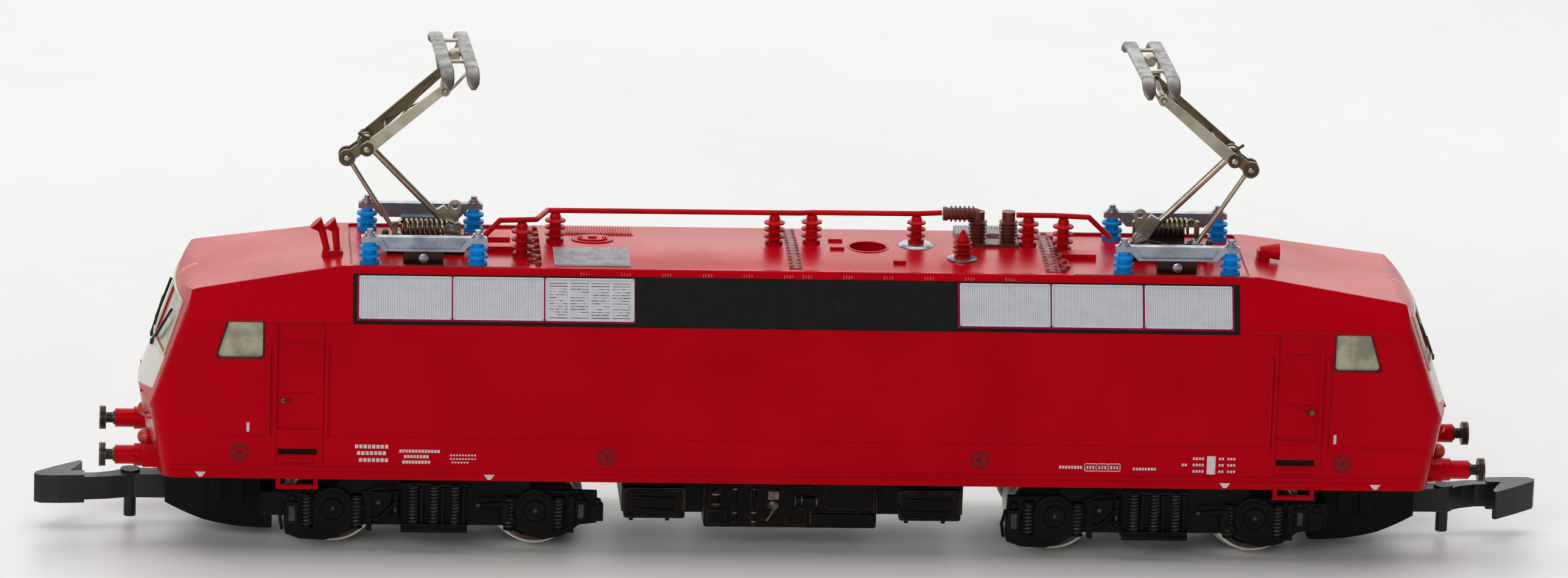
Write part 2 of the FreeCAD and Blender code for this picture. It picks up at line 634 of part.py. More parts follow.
def underfloor_tank():
    """Equipment cases that hang under the middle of the chassis."""
    core = box(-11.0, 10.7, -5.05, 5.05, 2.65, 5.3)
    centre = rounded(box(-5.8, 5.2, -5.4, 5.4, 1.8, 4.9), 0.2, (0, 1, 0))
    pieces = [core, centre, box(-11.4, 11.1, -5.5, 5.5, 4.85, 5.3)]
    for side in (-1, 1):
        for x0, x1 in ((-10.9, -7.0), (6.6, 10.55)):
            y = sorted((side * 5.0, side * 5.7))
            pieces.append(rounded(box(x0, x1, y[0], y[1], 2.42, 4.4), 0.2, (0, 1, 0)))
        pieces.append(bar((-5.05, side * 5.3, 3.2), (-5.05, side * 5.3, 4.2), 0.32))
        pieces.append(bar((-1.4, side * 5.3, 2.85), (-1.4, side * 5.3, 4.25), 0.38))
        for x in (-3.8, -2.62):
            pieces.append(bar((x, side * 5.42, 1.95), (x, side * 5.42, 4.9), 0.15))
        pieces.append(bar((0.0, side * 5.4, 3.62), (1.5, side * 5.4, 3.62), 0.34))
        y = sorted((side * 5.2, side * 5.7))
        pieces.append(rounded(box(1.0, 5.1, y[0], y[1], 2.02, 2.82), 0.15, (1, 0, 0)))
    return fuse(*pieces)


def motor_case():
    radius, flat = 4.25, 3.95
    can = bar((-7.0, 0, shaft_z), (7.0, 0, shaft_z), radius)
    can = can.common(box(-8, 8, -radius, radius, shaft_z - flat, shaft_z + flat))
    inside = bar((-6.3, 0, shaft_z), (6.3, 0, shaft_z), 3.5)
    bore = bar((-8, 0, shaft_z), (8, 0, shaft_z), 0.45 + bore_play)
    brush_holes = bar((4.9, -5, shaft_z), (4.9, 5, shaft_z), 0.5)
    return can.cut(group(inside, bore, brush_holes))


def motor_magnets():
    ring = bar((-3.5, 0, shaft_z), (3.5, 0, shaft_z), 3.5).cut(bar((-4, 0, shaft_z), (4, 0, shaft_z), 2.8))
    upper = ring.common(box(-4, 4, -2.6, 2.6, shaft_z + 1, shaft_z + 4))
    lower = ring.common(box(-4, 4, -2.6, 2.6, shaft_z - 4, shaft_z - 1))
    return group(upper, lower)


def motor_brushes():
    brushes = []
    for side in (-1, 1):
        brushes.append(bar((4.9, side * 1.06, shaft_z), (4.9, side * 4.25, shaft_z), 0.5))
    return group(*brushes)


def motor_rotor():
    """Shaft, five-pole armature and commutator."""
    shaft = bar((-26.3, 0, shaft_z), (26.3, 0, shaft_z), 0.45)
    armature = bar((-3.2, 0, shaft_z), (3.2, 0, shaft_z), 2.65)
    poles = 5
    slots = []
    for i in range(poles):
        slot = box(-4, 4, -0.3, 0.3, 1.2, 3.0)
        slot.rotate(V(0, 0, 0), V(1, 0, 0), 360 / poles * i)
        slots.append(moved(slot, 0, 0, shaft_z))
    commutator = bar((4.2, 0, shaft_z), (5.6, 0, shaft_z), 1.0)
    return fuse(shaft, armature.cut(group(*slots)), commutator)


def worm():
    """Single-start right-hand worm on the shaft, centred over the front bogie."""
    turns = 4
    length = turns * worm_lead
    core_r, tip_r = 0.7, worm_r + 0.2
    half_root, half_tip = 0.24, 0.07
    helix = Part.makeHelix(worm_lead, length, core_r)
    profile = Part.makePolygon([V(core_r - 0.06, 0, -half_root),
                                V(tip_r, 0, -half_tip), V(tip_r, 0, half_tip),
                                V(core_r - 0.06, 0, half_root), V(core_r - 0.06, 0, -half_root)])
    thread = Part.Wire(helix).makePipeShell([profile], True, True)
    core = Part.makeCylinder(core_r, length + 1.0, V(0, 0, -0.5))
    solid = core.fuse(thread)
    bore = Part.makeCylinder(0.45, length + 3, V(0, 0, -1.5))
    solid = solid.cut(bore)
    solid.translate(V(0, 0, -length / 2))
    # the thread starts on the +X side of the helix; turned onto the motor shaft that is the underside
    solid.rotate(V(0, 0, 0), V(0, 1, 0), 90)
    solid.translate(V(bogie_x + worm_lead / 2, 0, shaft_z))
    return solid


def circuit_board():
    board = rounded(box(-34.5, 34.5, -5.1, 5.1, 11.8, 12.3), 0.6, (0, 0, 1))
    opening = box(-7.6, 7.6, -4.4, 4.4, 11, 13)
    chip_places = ((12, -3.6), (17, 1.2), (-16, -3.0), (-21, 1.4))
    chips = [box(x, x + 2.4, y, y + 1.6, 12.3, 12.9) for x, y in chip_places]
    screw_holes = [bar((x, 0, 11), (x, 0, 13), 0.65) for x in (-9.05, 9.05)]
    return fuse(board, *chips).cut(group(opening, *screw_holes))


def board_screws():
    screws = []
    for x in (-9.05, 9.05):
        screws.append(fuse(bar((x, 0, 11.8), (x, 0, 12.3), 0.6), bar((x, 0, 12.3), (x, 0, 12.85), 1.0))
                      .cut(box(x - 1.2, x + 1.2, -0.12, 0.12, 12.6, 13)))
    return group(*screws)


def cab_lamp():
    holder = box(31.6, 33.2, -0.9, 0.9, 12.3, 13.2)
    bulb = fuse(bar((33.2, 0, 12.95), (34.6, 0, 12.95), 0.6), ball((34.6, 0, 12.95), 0.6))
    return fuse(holder, bulb)


# ---------------------------------------------------------------- gears
def gear(teeth, width, bore, phase):
    """A spur gear about Y with a tooth centred on the phase angle, in degrees from +X towards +Z."""
    pitch_r = module * teeth / 2
    root_r, tip_r = pitch_r - 0.31, pitch_r + 0.22
    half_pitch_tooth = math.pi * module / 4 - gear_play
    half_root, half_tip = half_pitch_tooth + 0.09, half_pitch_tooth - 0.09
    points = []
    for i in range(teeth):
        centre = math.radians(phase + 360 * i / teeth)
        tooth = ((root_r, -half_root), (tip_r, -half_tip), (tip_r, half_tip), (root_r, half_root))
        for radius, offset in tooth:
            angle = centre + offset / radius
            points.append((radius * math.cos(angle), radius * math.sin(angle)))
    blank = plate_xz(points, -width / 2, width / 2)
    return blank.cut(bar((0, -width, 0), (0, width, 0), bore))


def meshing_phase(teeth_a, phase_a, direction, teeth_b):
    """Phase of gear b so that it meshes with gear a, whose centre lies the other way along direction."""
    part_a = (direction - phase_a) / (360 / teeth_a)
    part_b = 0.5 - part_a
    return direction + 180 - part_b * 360 / teeth_b


def gear_phases():
    """Phases of the worm wheel, centre gear, idlers and axle gears, from the worm down."""
    worm_wheel = 90.0
    centre = meshing_phase(wheel_teeth, worm_wheel, -90.0, wheel_teeth)
    rise = math.degrees(math.atan2(idler_dz, idler_dx))
    idlers, axles = {}, {}
    for name, to_idler, to_axle in (("outer", rise, -rise), ("inner", 180 - rise, 180 + rise)):
        idlers[name] = meshing_phase(wheel_teeth, centre, to_idler, idler_teeth)
        axles[name] = meshing_phase(idler_teeth, idlers[name], to_axle, wheel_teeth)
    return worm_wheel, centre, idlers, axles


# ---------------------------------------------------------------- bogies, built about their own centre
def bogie_frame():
    """Two side plates with the pivot boss, the gear pins and open-bottomed axle slots."""
    half_y, top_z = 1.6, 5.0
    plates = box(-9.0, 9.0, -half_y, half_y, keeper_z, top_z)
    shoulder = bar((0, 0, 4.0), (0, 0, 5.25), 3.3)
    boss = bar((0, 0, 4.9), (0, 0, 6.3), 2.55)
    tower = box(-1.3, 1.3, -1.45, 1.45, 6.2, worm_wheel_z + 0.75)
    body = fuse(plates, shoulder, boss, tower)
    slots = [box(-8.45, 8.45, -0.65, 0.65, 0, 5.7), box(-2.7, 2.7, -0.4, 0.4, 0, 9)]
    for x in (-half_wheelbase, half_wheelbase):
        slots.append(bar((x, -3, axle_z), (x, 3, axle_z), 0.5 + bore_play))
        slots.append(box(x - 0.55, x + 0.55, -3, 3, 0, axle_z))
    body = body.cut(group(*slots))
    pins = [bar((0, -1.5, axle_z), (0, 1.5, axle_z), 0.4),
            bar((0, -1.45, worm_wheel_z), (0, 1.45, worm_wheel_z), 0.4)]
    for x in (-idler_dx, idler_dx):
        pins.append(bar((x, -1.5, axle_z + idler_dz), (x, 1.5, axle_z + idler_dz), 0.4))
    return fuse(body, *pins)


def bogie_keeper():
    """The cover under the gears, with a saddle under each axle."""
    plate = rounded(box(-9.0, 9.0, -1.6, 1.6, keeper_z - 0.4, keeper_z), 0.4, (0, 0, 1))
    saddles = []
    for x in (-half_wheelbase, half_wheelbase):
        for y in (-1.6, 0.75):
            saddles.append(box(x - 0.5, x + 0.5, y, y + 0.85, keeper_z - 0.1, axle_z - 0.5 - bore_play))
    return fuse(plate, *saddles)


def wheelset(phase):
    """Axle, two flanged wheels and the pressed-on gear."""
    axle = bar((0, -4.75, 0), (0, 4.75, 0), 0.5)
    wheels = []
    for side in (-1, 1):
        outline = [(0.5, 2.95), (flange_r - 0.12, 2.95), (flange_r, 3.08), (flange_r, 3.2),
                   (tread_r + 0.08, 3.4), (tread_r, 3.5), (tread_r - 0.04, 4.7), (2.3, 4.7),
                   (2.2, 4.4), (1.2, 4.4), (1.05, 4.7), (0.5, 4.7)]
        corners = [V(r, side * y, 0) for r, y in outline]
        wheels.append(Part.Face(Part.makePolygon(corners + corners[:1])).revolve(V(0, 0, 0), V(0, 1, 0), 360))
    pinion = gear(wheel_teeth, 1.0, 0.5, phase)
    return moved(fuse(axle, *wheels, pinion), 0, 0, axle_z)


def side_frame():
    """One side of the bogie dress: frame plate, axleboxes, springs, damper and end blocks."""
    y0, y1 = -5.75, -5.2
    outline = [(-9.5, 1.9), (-9.4, 1.15), (-8.5, 0.82), (-6.95, 0.74), (-6.1, 0.95), (-5.3, 1.5),
               (-4.6, 1.8), (4.6, 1.85), (5.4, 1.6), (6.0, 1.15), (6.9, 0.92), (8.2, 1.2),
               (9.2, 1.95), (10.3, 2.1), (10.3, 4.1), (6.2, 4.2), (5.9, 4.85), (-5.9, 4.85),
               (-6.2, 4.2), (-9.4, 4.1)]
    pieces = [plate_xz(outline, y0, y1)]
    for x in (-half_wheelbase, half_wheelbase):
        pieces.append(bar((x, y1, axle_z - 0.12), (x, -6.05, axle_z - 0.12), 1.15))
        pieces.append(bar((x, y1, axle_z - 0.12), (x, -6.25, axle_z - 0.12), 0.56))
        guard = [(x - 1.3, axle_z), (x - 1.1, 1.6), (x, 1.3), (x + 1.1, 1.6), (x + 1.3, axle_z)]
        pieces.append(plate_xz(guard, -5.95, y1))
        for dx in (-1.65, 1.5):
            pieces.append(bar((x + dx, -5.85, 1.7), (x + dx, -5.85, 3.85), 0.3))
    for i in (-1, 0, 1):
        pieces.append(bar((1.33 * i, -5.95, 2.0), (1.33 * i, -5.95, 4.6), 0.29))
    pieces.append(box(-2.1, 2.1, -6.25, y1, 1.74, 2.0))
    pieces.append(bar((-2.42, -5.9, 2.3), (-2.42, -5.9, 4.15), 0.22))
    pieces.append(plate_xz([(-4.4, 4.0), (-4.2, 2.7), (-3.7, 2.4), (-2.8, 3.3), (-2.7, 4.0)], -6.0, y1))
    pieces.append(bar((4.5, -5.9, 2.3), (4.5, -5.9, 3.5), 0.42))
    pieces.append(box(2.6, 5.3, -6.0, y1, 3.45, 3.7))
    for x0, x1, z0, z1 in ((-9.35, -8.65, 1.95, 3.3), (8.95, 9.6, 2.2, 3.6), (10.0, 10.7, 2.3, 3.3)):
        pieces.append(box(x0, x1, -6.1, y1, z0, z1))
    return fuse(*pieces)


def keel():
    """The scoop under the coupler pocket, at the outer end of the bogie."""
    x_in, x_out = 10.2, 17.0
    top_z = 4.45
    start, middle, end = V(x_out, 0, 2.15), V(14.6, 0, 1.25), V(x_in, 0, 0.72)
    curve = Part.Arc(start, middle, end).toShape()
    rest = Part.makePolygon([end, V(x_in, 0, top_z), V(x_out - 0.4, 0, top_z), V(x_out, 0, 3.9), start])
    slab = Part.Face(Part.Wire([curve] + rest.Edges)).extrude(V(0, 6.4, 0))
    slab.translate(V(0, -3.2, 0))
    plan = plate_xy([(x_in, -3.2), (14.6, -3.2), (x_out, -2.5), (x_out, 2.5), (14.6, 3.2), (x_in, 3.2)], 0, 6)
    scoop = slab.common(plan)
    pocket = box(12.2, 18.0, -2.05, 2.05, 1.7, 3.6)
    pivot = bar((coupler_pivot_x - bogie_x, 0, 1.5), (coupler_pivot_x - bogie_x, 0, 3.8), 0.4)
    return fuse(scoop.cut(pocket), pivot)


def bogie_dress(x_sign):
    """The black moulding that carries both side frames and the coupler pocket."""
    near = side_frame()
    far = half_turn(near)
    pieces = [near, far]
    for side in (-1, 1):
        y = sorted((side * 1.6, side * 5.3))
        pieces.append(box(-2.1, 2.1, y[0], y[1], 1.5, 2.6))
        y = sorted((side * 5.2, side * 5.9))
        xs = sorted((x_sign * 8.8, x_sign * 11.0))
        pieces.append(box(xs[0], xs[1], y[0], y[1], 2.4, 3.9))
        y = sorted((side * 3.0, side * 5.3))
        xs = sorted((x_sign * 9.85, x_sign * 11.0))
        pieces.append(box(xs[0], xs[1], y[0], y[1], 2.4, 3.9))
    xs = sorted((x_sign * 9.0, x_sign * 10.4))
    pieces.append(box(xs[0], xs[1], -1.6, 1.6, 1.6, 3.6))
    scoop = keel() if x_sign > 0 else half_turn(keel())
    return fuse(*pieces, scoop)


def coupler():
    """Hook coupler of the front end: pivot eye, shank, boss with its pin, bowed arm and barbed head."""
    z0, z1 = 1.85, 3.4
    pivot = coupler_pivot_x
    eye_part = bar((pivot, 0, z0), (pivot, 0, z1), 0.85)
    shank = box(pivot, 41.8, -0.7, 0.7, z0, z1)
    boss_x, boss_y = 42.1, -0.1
    boss = bar((boss_x, boss_y, z0), (boss_x, boss_y, z1 + 0.15), 0.62)
    pin = bar((boss_x, boss_y, 0.45), (boss_x, boss_y, z0 + 0.1), 0.39)
    arm_plan = [(41.6, -0.5), (41.6, 0.6), (42.5, 0.9), (43.6, 1.25), (45.3, 1.5),
                (45.3, 0.5), (44.2, 0.4), (43.3, 0.05), (42.6, -0.45)]
    arm = plate_xy(arm_plan, z0 + 0.05, z1)
    head_plan = [(45.0, 0.5), (45.0, 1.46), (46.6, 1.62), (47.8, 1.6), (coupler_tip_x, 1.25), (48.05, 0.75),
                 (46.9, -0.35), (45.3, -1.75), (45.15, -1.4), (45.6, -0.2), (45.95, 0.5)]
    head = rounded(plate_xy(head_plan, 1.7, 3.55), 0.08, (0, 0, 1))
    solid = fuse(eye_part, shank, boss, pin, arm, head)
    return solid.cut(bar((pivot, 0, 0), (pivot, 0, 5), 0.4 + bore_play))


def coupler_spring():
    """Leaf spring that centres the shank, held by the back wall of the pocket."""
    x = bogie_x + 12.2
    return fuse(box(x, x + 0.12, -1.6, 1.6, 2.0, 3.2), box(x, x + 0.5, 1.48, 1.6, 2.0, 3.2),
                box(x, x + 0.5, -1.6, -1.48, 2.0, 3.2))


# ---------------------------------------------------------------- write the nodes
def save(name, shape):
    shape.exportStep(os.path.join("parts", name + ".step"))


def everywhere(piece):
    """The four copies of a fitting that each nose carries twice."""
    return both_ends(piece) + both_ends(mirror_y(piece))


def build():
    os.makedirs("parts", exist_ok=True)
    lenses = both_ends(top_lamp())
    for lamp in headlamps():
        lenses += everywhere(lamp)
    seated = {
        "buffers": group(*everywhere(buffer_head())),
        "wipers": group(*everywhere(wiper())),
        "headlamp_lenses": group(*lenses),
        "horn_front": short_horn(),
        "horn_rear": twin_horn(),
        "roof_insulators": roof_insulators(),
        "main_breaker": main_breaker(),
        "terminal_base": terminal_base(),
    }
    for name, fitting in seated.items():
        save(name, fitting)
    # each fitting sits in a socket of its own shape
    save("body_shell", body_shell().cut(group(*seated.values())))
    glazing = cab_glazing()
    save("cab_glazing_front", glazing)
    save("cab_glazing_rear", half_turn(glazing))
    save("roof_conductor", roof_conductor())
    save("selector_screw", selector_screw())
    save("chassis_block", chassis_block())
    save("underfloor_tank", underfloor_tank())
    save("motor_case", motor_case())
    save("motor_magnets", motor_magnets())
    save("motor_brushes", motor_brushes())
    save("motor_rotor", motor_rotor())
    front_worm = worm()
    save("worms", group(front_worm, moved(front_worm, -2 * bogie_x)))
    save("circuit_board", circuit_board())
    save("board_screws", board_screws())
    save("cab_lamps", group(*both_ends(cab_lamp())))

    pantograph = {
        "panto_base_": panto_base(),
        "panto_insulators_": panto_insulators(),
        "panto_spring_": panto_spring(),
        "lower_arm_": lower_arm(),
        "coupling_rod_": coupling_rod(),
        "upper_arm_": upper_arm(),
    }
    for name, piece in pantograph.items():
        save(name + "front", piece)
        save(name + "rear", half_turn(piece))
    save("panto_head_front", panto_head(pan_roll))
    save("panto_head_rear", half_turn(panto_head(-pan_roll)))

    worm_wheel_phase, centre_phase, idler_phases, axle_phases = gear_phases()
    for end, x_sign in (("front", 1), ("rear", -1)):
        x = x_sign * bogie_x
        save("bogie_frame_" + end, moved(bogie_frame(), x))
        save("bogie_keeper_" + end, moved(bogie_keeper(), x))
        save("bogie_dress_" + end, moved(bogie_dress(x_sign), x))
        wheel = gear(wheel_teeth, 0.6, 0.4 + bore_play, worm_wheel_phase)
        save("worm_wheel_" + end, moved(wheel, x, 0, worm_wheel_z))
        centre = gear(wheel_teeth, 1.0, 0.4 + bore_play, centre_phase)
        save("centre_gear_" + end, moved(centre, x, 0, axle_z))
        for place, side in (("outer", 1), ("inner", -1)):
            # outer and inner are by the +X side in the gear train, so the rear bogie swaps them
            name = place if x_sign > 0 else ("inner" if place == "outer" else "outer")
            idler = gear(idler_teeth, 1.0, 0.4 + bore_play, idler_phases[place])
            save("idler_gear_" + name + "_" + end, moved(idler, x + side * idler_dx, 0, axle_z + idler_dz))
            axle_set = moved(wheelset(axle_phases[place]), x + side * half_wheelbase)
            save("wheelset_" + name + "_" + end, axle_set)
    for end, hook, leaf in zip(("front", "rear"), both_ends(coupler()), both_ends(coupler_spring())):
        save("coupler_" + end, hook)
        save("coupler_spring_" + end, leaf)


build()
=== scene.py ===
import json
import math
import random

import bmesh
import bpy
from mathutils import Matrix, Vector


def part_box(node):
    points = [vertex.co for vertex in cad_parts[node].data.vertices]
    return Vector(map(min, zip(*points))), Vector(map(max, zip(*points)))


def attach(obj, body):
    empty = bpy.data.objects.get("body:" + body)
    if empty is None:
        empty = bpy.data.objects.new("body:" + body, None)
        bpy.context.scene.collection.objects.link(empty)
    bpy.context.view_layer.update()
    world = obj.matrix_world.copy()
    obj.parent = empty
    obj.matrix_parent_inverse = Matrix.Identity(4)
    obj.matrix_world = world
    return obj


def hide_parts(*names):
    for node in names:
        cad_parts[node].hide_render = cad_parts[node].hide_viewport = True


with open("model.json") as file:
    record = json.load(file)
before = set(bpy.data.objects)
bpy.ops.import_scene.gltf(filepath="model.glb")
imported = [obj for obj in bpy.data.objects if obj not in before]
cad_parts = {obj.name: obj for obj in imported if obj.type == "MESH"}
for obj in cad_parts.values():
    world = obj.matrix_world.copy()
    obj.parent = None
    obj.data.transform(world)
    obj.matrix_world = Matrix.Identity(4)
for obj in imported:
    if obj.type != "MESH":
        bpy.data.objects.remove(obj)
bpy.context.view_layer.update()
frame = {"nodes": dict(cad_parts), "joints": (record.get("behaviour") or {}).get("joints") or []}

MM = 0.001
HALF_TURN = Matrix.Rotation(math.pi, 4, "Z")
MIRROR_Y = Matrix.Scale(-1, 4, (0, 1, 0))
SAME = Matrix.Identity(4)
X_AXIS, Z_AXIS, NEARWARD = (1, 0, 0), (0, 0, 1), (0, -1, 0)
FOUR_WAYS = [SAME, HALF_TURN, MIRROR_Y, HALF_TURN @ MIRROR_Y]
BOTH_ENDS = [SAME, HALF_TURN]


def pivot(joint_name):
    """A joint's place, in millimetres."""
    joint = next(joint for joint in frame["joints"] if joint["name"] == joint_name)
    return [value / MM for value in joint["pos_m"]]


def span(node):
    """A CAD node's lowest and highest corners, in millimetres, to a thousandth."""
    return [[round(value / MM, 3) for value in corner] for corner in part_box(node)]


def in_profile(joint_name):
    """A pantograph joint in side view: X from the pantograph's middle, and height."""
    x, _, z = pivot(joint_name)
    return x - panto_x, z


# ---------------- places, in millimetres
selector_x = pivot("selector_turn")[0]
bogie_x = pivot("bogie_swivel_front")[0]
axle_x, _, axle_z = pivot("wheelset_outer_front_spin")
half_wheelbase = axle_x - bogie_x
panto_low, panto_high = span("panto_base_front")
panto_x = (panto_low[0] + panto_high[0]) / 2
elbow, head_pivot = in_profile("upper_arm_fold_front"), in_profile("panto_head_level_front")
tail = (4.85, 24.4)             # the opened pivot of the pantograph, which has no joint


# ---------------- materials
def link(tree, source, target):
    tree.links.new(source, target)


def math_node(tree, operation, a, b=None, clamp=False):
    node = tree.nodes.new("ShaderNodeMath")
    node.operation = operation
    node.use_clamp = clamp
    for socket, value in zip(node.inputs, (a, b)):
        if value is None:
            continue
        if isinstance(value, (int, float)):
            socket.default_value = value
        else:
            link(tree, value, socket)
    return node.outputs[0]


def noise(tree, size, detail=3.0, stretch=(1, 1, 1)):
    """Noise with features of a size in millimetres, fixed to the object."""
    coords = tree.nodes.new("ShaderNodeTexCoord")
    mapping = tree.nodes.new("ShaderNodeMapping")
    mapping.inputs["Scale"].default_value = stretch
    link(tree, coords.outputs["Object"], mapping.inputs["Vector"])
    node = tree.nodes.new("ShaderNodeTexNoise")
    node.inputs["Scale"].default_value = 1 / (size * MM)
    node.inputs["Detail"].default_value = detail
    link(tree, mapping.outputs[0], node.inputs["Vector"])
    return node.outputs["Fac"]


def ramp(tree, value, low, high):
    """The value spread so that low becomes 0 and high becomes 1."""
    node = tree.nodes.new("ShaderNodeMapRange")
    node.interpolation_type = "SMOOTHSTEP"
    node.inputs["From Min"].default_value = low
    node.inputs["From Max"].default_value = high
    link(tree, value, node.inputs["Value"])
    return node.outputs["Result"]


def blend(tree, factor, a, b):
    """Colour a where factor is 0, colour b where it is 1."""
    node = tree.nodes.new("ShaderNodeMix")
    node.data_type = "RGBA"
    for socket, value in ((node.inputs[6], a), (node.inputs[7], b)):
        if isinstance(value, tuple):
            socket.default_value = (*value, 1)
        else:
            link(tree, value, socket)
    link(tree, factor, node.inputs[0])
    return node.outputs[2]


def rounded_normal(tree, radius):
    """The surface's normal with its edges rounded, by a radius in millimetres."""
    bevel = tree.nodes.new("ShaderNodeBevel")
    bevel.samples = 4
    bevel.inputs["Radius"].default_value = radius * MM
    return bevel.outputs[0]


def worn_edges(tree, radius):
    """1 on outer and inner edges within a radius in millimetres, 0 on open faces."""
    geometry = tree.nodes.new("ShaderNodeNewGeometry")
    dot = tree.nodes.new("ShaderNodeVectorMath")
    dot.operation = "DOT_PRODUCT"
    link(tree, rounded_normal(tree, radius), dot.inputs[0])
    link(tree, geometry.outputs["Normal"], dot.inputs[1])
    return math_node(tree, "SUBTRACT", 1.0, dot.outputs["Value"], clamp=True)


def bump(tree, height, strength, depth, normal=None):
    node = tree.nodes.new("ShaderNodeBump")
    node.inputs["Strength"].default_value = strength
    node.inputs["Distance"].default_value = depth * MM
    link(tree, height, node.inputs["Height"])
    if normal is not None:
        link(tree, normal, node.inputs["Normal"])
    return node.outputs[0]


def material(name, colour, shade, rough, metal=0.0, grain=0.4, patch=3.0, relief=0.006, edge=None,
             edge_radius=0.06, dust=None, dust_amount=0.5, gloss=0.5, gloss_tint=None, soften=0.0,
             painter=None):
    """A procedural finish: mottled colour, patchy roughness, fine relief, worn edges and settled dust.

    colour and shade are mixed by large noise; rough is the lowest and highest roughness; grain and patch are
    feature sizes in millimetres; relief is the bump depth. gloss is the specular level, and
    gloss_tint colours the reflections seen face on. soften rounds the shading of sharp edges, by a radius in
    millimetres. painter(tree, colour) may paint areas over the base.
    """
    mat = bpy.data.materials.new(name)
    mat.use_nodes = True
    mat.diffuse_color = (*colour, 1)
    tree = mat.node_tree
    shader = tree.nodes["Principled BSDF"]
    shader.inputs["Metallic"].default_value = metal
    shader.inputs["Specular IOR Level"].default_value = gloss
    if gloss_tint is not None:
        shader.inputs["Specular Tint"].default_value = (*gloss_tint, 1)
    patches = noise(tree, patch, 4)
    fine = noise(tree, grain, 5)
    base = blend(tree, ramp(tree, patches, 0.35, 0.68), colour, shade)
    if painter is not None:
        base = painter(tree, base)
    if dust is not None:
        settled = math_node(tree, "MULTIPLY", ramp(tree, noise(tree, patch * 0.6, 6), 0.45, 0.75),
                            dust_amount)
        base = blend(tree, settled, base, dust)
    roughness = ramp(tree, math_node(tree, "ADD", patches, math_node(tree, "MULTIPLY", fine, 0.5)), 0.45, 1.1)
    spread = math_node(tree, "MULTIPLY", roughness, rough[1] - rough[0])
    roughness = math_node(tree, "ADD", spread, rough[0])
    if edge is not None:
        rubbed = math_node(tree, "MULTIPLY", worn_edges(tree, edge_radius), ramp(tree, fine, 0.35, 0.6))
        rubbed = ramp(tree, rubbed, 0.02, 0.22)
        base = blend(tree, rubbed, base, edge)
    link(tree, base, shader.inputs["Base Color"])
    link(tree, roughness, shader.inputs["Roughness"])
    rounded = rounded_normal(tree, soften) if soften else None
    link(tree, bump(tree, fine, 0.6, relief, rounded), shader.inputs["Normal"])
    return mat


def axis_value(tree, axis, absolute=True):
    """The object's coordinate on one axis, in millimetres."""
    coords = tree.nodes.new("ShaderNodeTexCoord")
    split = tree.nodes.new("ShaderNodeSeparateXYZ")
    link(tree, coords.outputs["Object"], split.inputs[0])
    value = math_node(tree, "MULTIPLY", split.outputs[axis], 1 / MM)
    return math_node(tree, "ABSOLUTE", value) if absolute else value


def both(tree, *masks):
    """1 where every mask is 1."""
    product = masks[0]
    for mask in masks[1:]:
        product = math_node(tree, "MULTIPLY", product, mask)
    return product


def nose_bib(tree, base):
    """The light bib under the windscreen of each nose, pointed in the middle."""
    x, y, z = (axis_value(tree, axis) for axis in "XYZ")
    behind_nose, past_sides, above_foot, below_top = (37.5, 37.6), (5.44, 5.36), (9.44, 9.54), (12.75, 12.65)
    foot_slope = 0.2
    height = math_node(tree, "SUBTRACT", z, math_node(tree, "MULTIPLY", y, foot_slope))
    limits = ((x, behind_nose), (y, past_sides), (height, above_foot), (z, below_top))
    mask = both(tree, *(ramp(tree, value, *edges) for value, edges in limits))
    return blend(tree, mask, base, (0.70, 0.68, 0.62))


def painted_shade_far_side(tree, base):
    """Painted shade: dark bronze brown on the far bar and in the middle, away from the near side; bright
    metal on the near bar.
    """
    y = axis_value(tree, "Y", absolute=False)
    return blend(tree, ramp(tree, y, -0.9, -0.6), base, (0.17, 0.125, 0.075))


def brown_horns(tree, base):
    """Varnished brown towards the ends of the contact strips."""
    return blend(tree, ramp(tree, axis_value(tree, "Y"), 3.5, 4.2), base, (0.20, 0.165, 0.13))


def brown_foot(tree, base):
    """The rails are silver; everything lower is dark brown."""
    return blend(tree, ramp(tree, axis_value(tree, "Z"), 19.42, 19.32), base, (0.035, 0.018, 0.014))


def polished_tread(tree, base):
    """Bright metal on the treads and flanges, brown on the wheel faces and axles."""
    face_radius, tread_radius = 2.5, 2.68
    along = math_node(tree, "SUBTRACT", axis_value(tree, "X"), bogie_x)
    along = math_node(tree, "SUBTRACT", math_node(tree, "ABSOLUTE", along), half_wheelbase)
    up = math_node(tree, "SUBTRACT", axis_value(tree, "Z"), axle_z)
    squares = [math_node(tree, "MULTIPLY", offset, offset) for offset in (along, up)]
    radius_squared = math_node(tree, "ADD", *squares)
    mask = ramp(tree, radius_squared, face_radius ** 2, tread_radius ** 2)
    return blend(tree, mask, base, (0.80, 0.77, 0.70))


RED = (0.50, 0.0012, 0.0075)
DEEP_RED = (0.43, 0.0008, 0.006)
RED_GLOSS = (1.0, 0.04, 0.06)

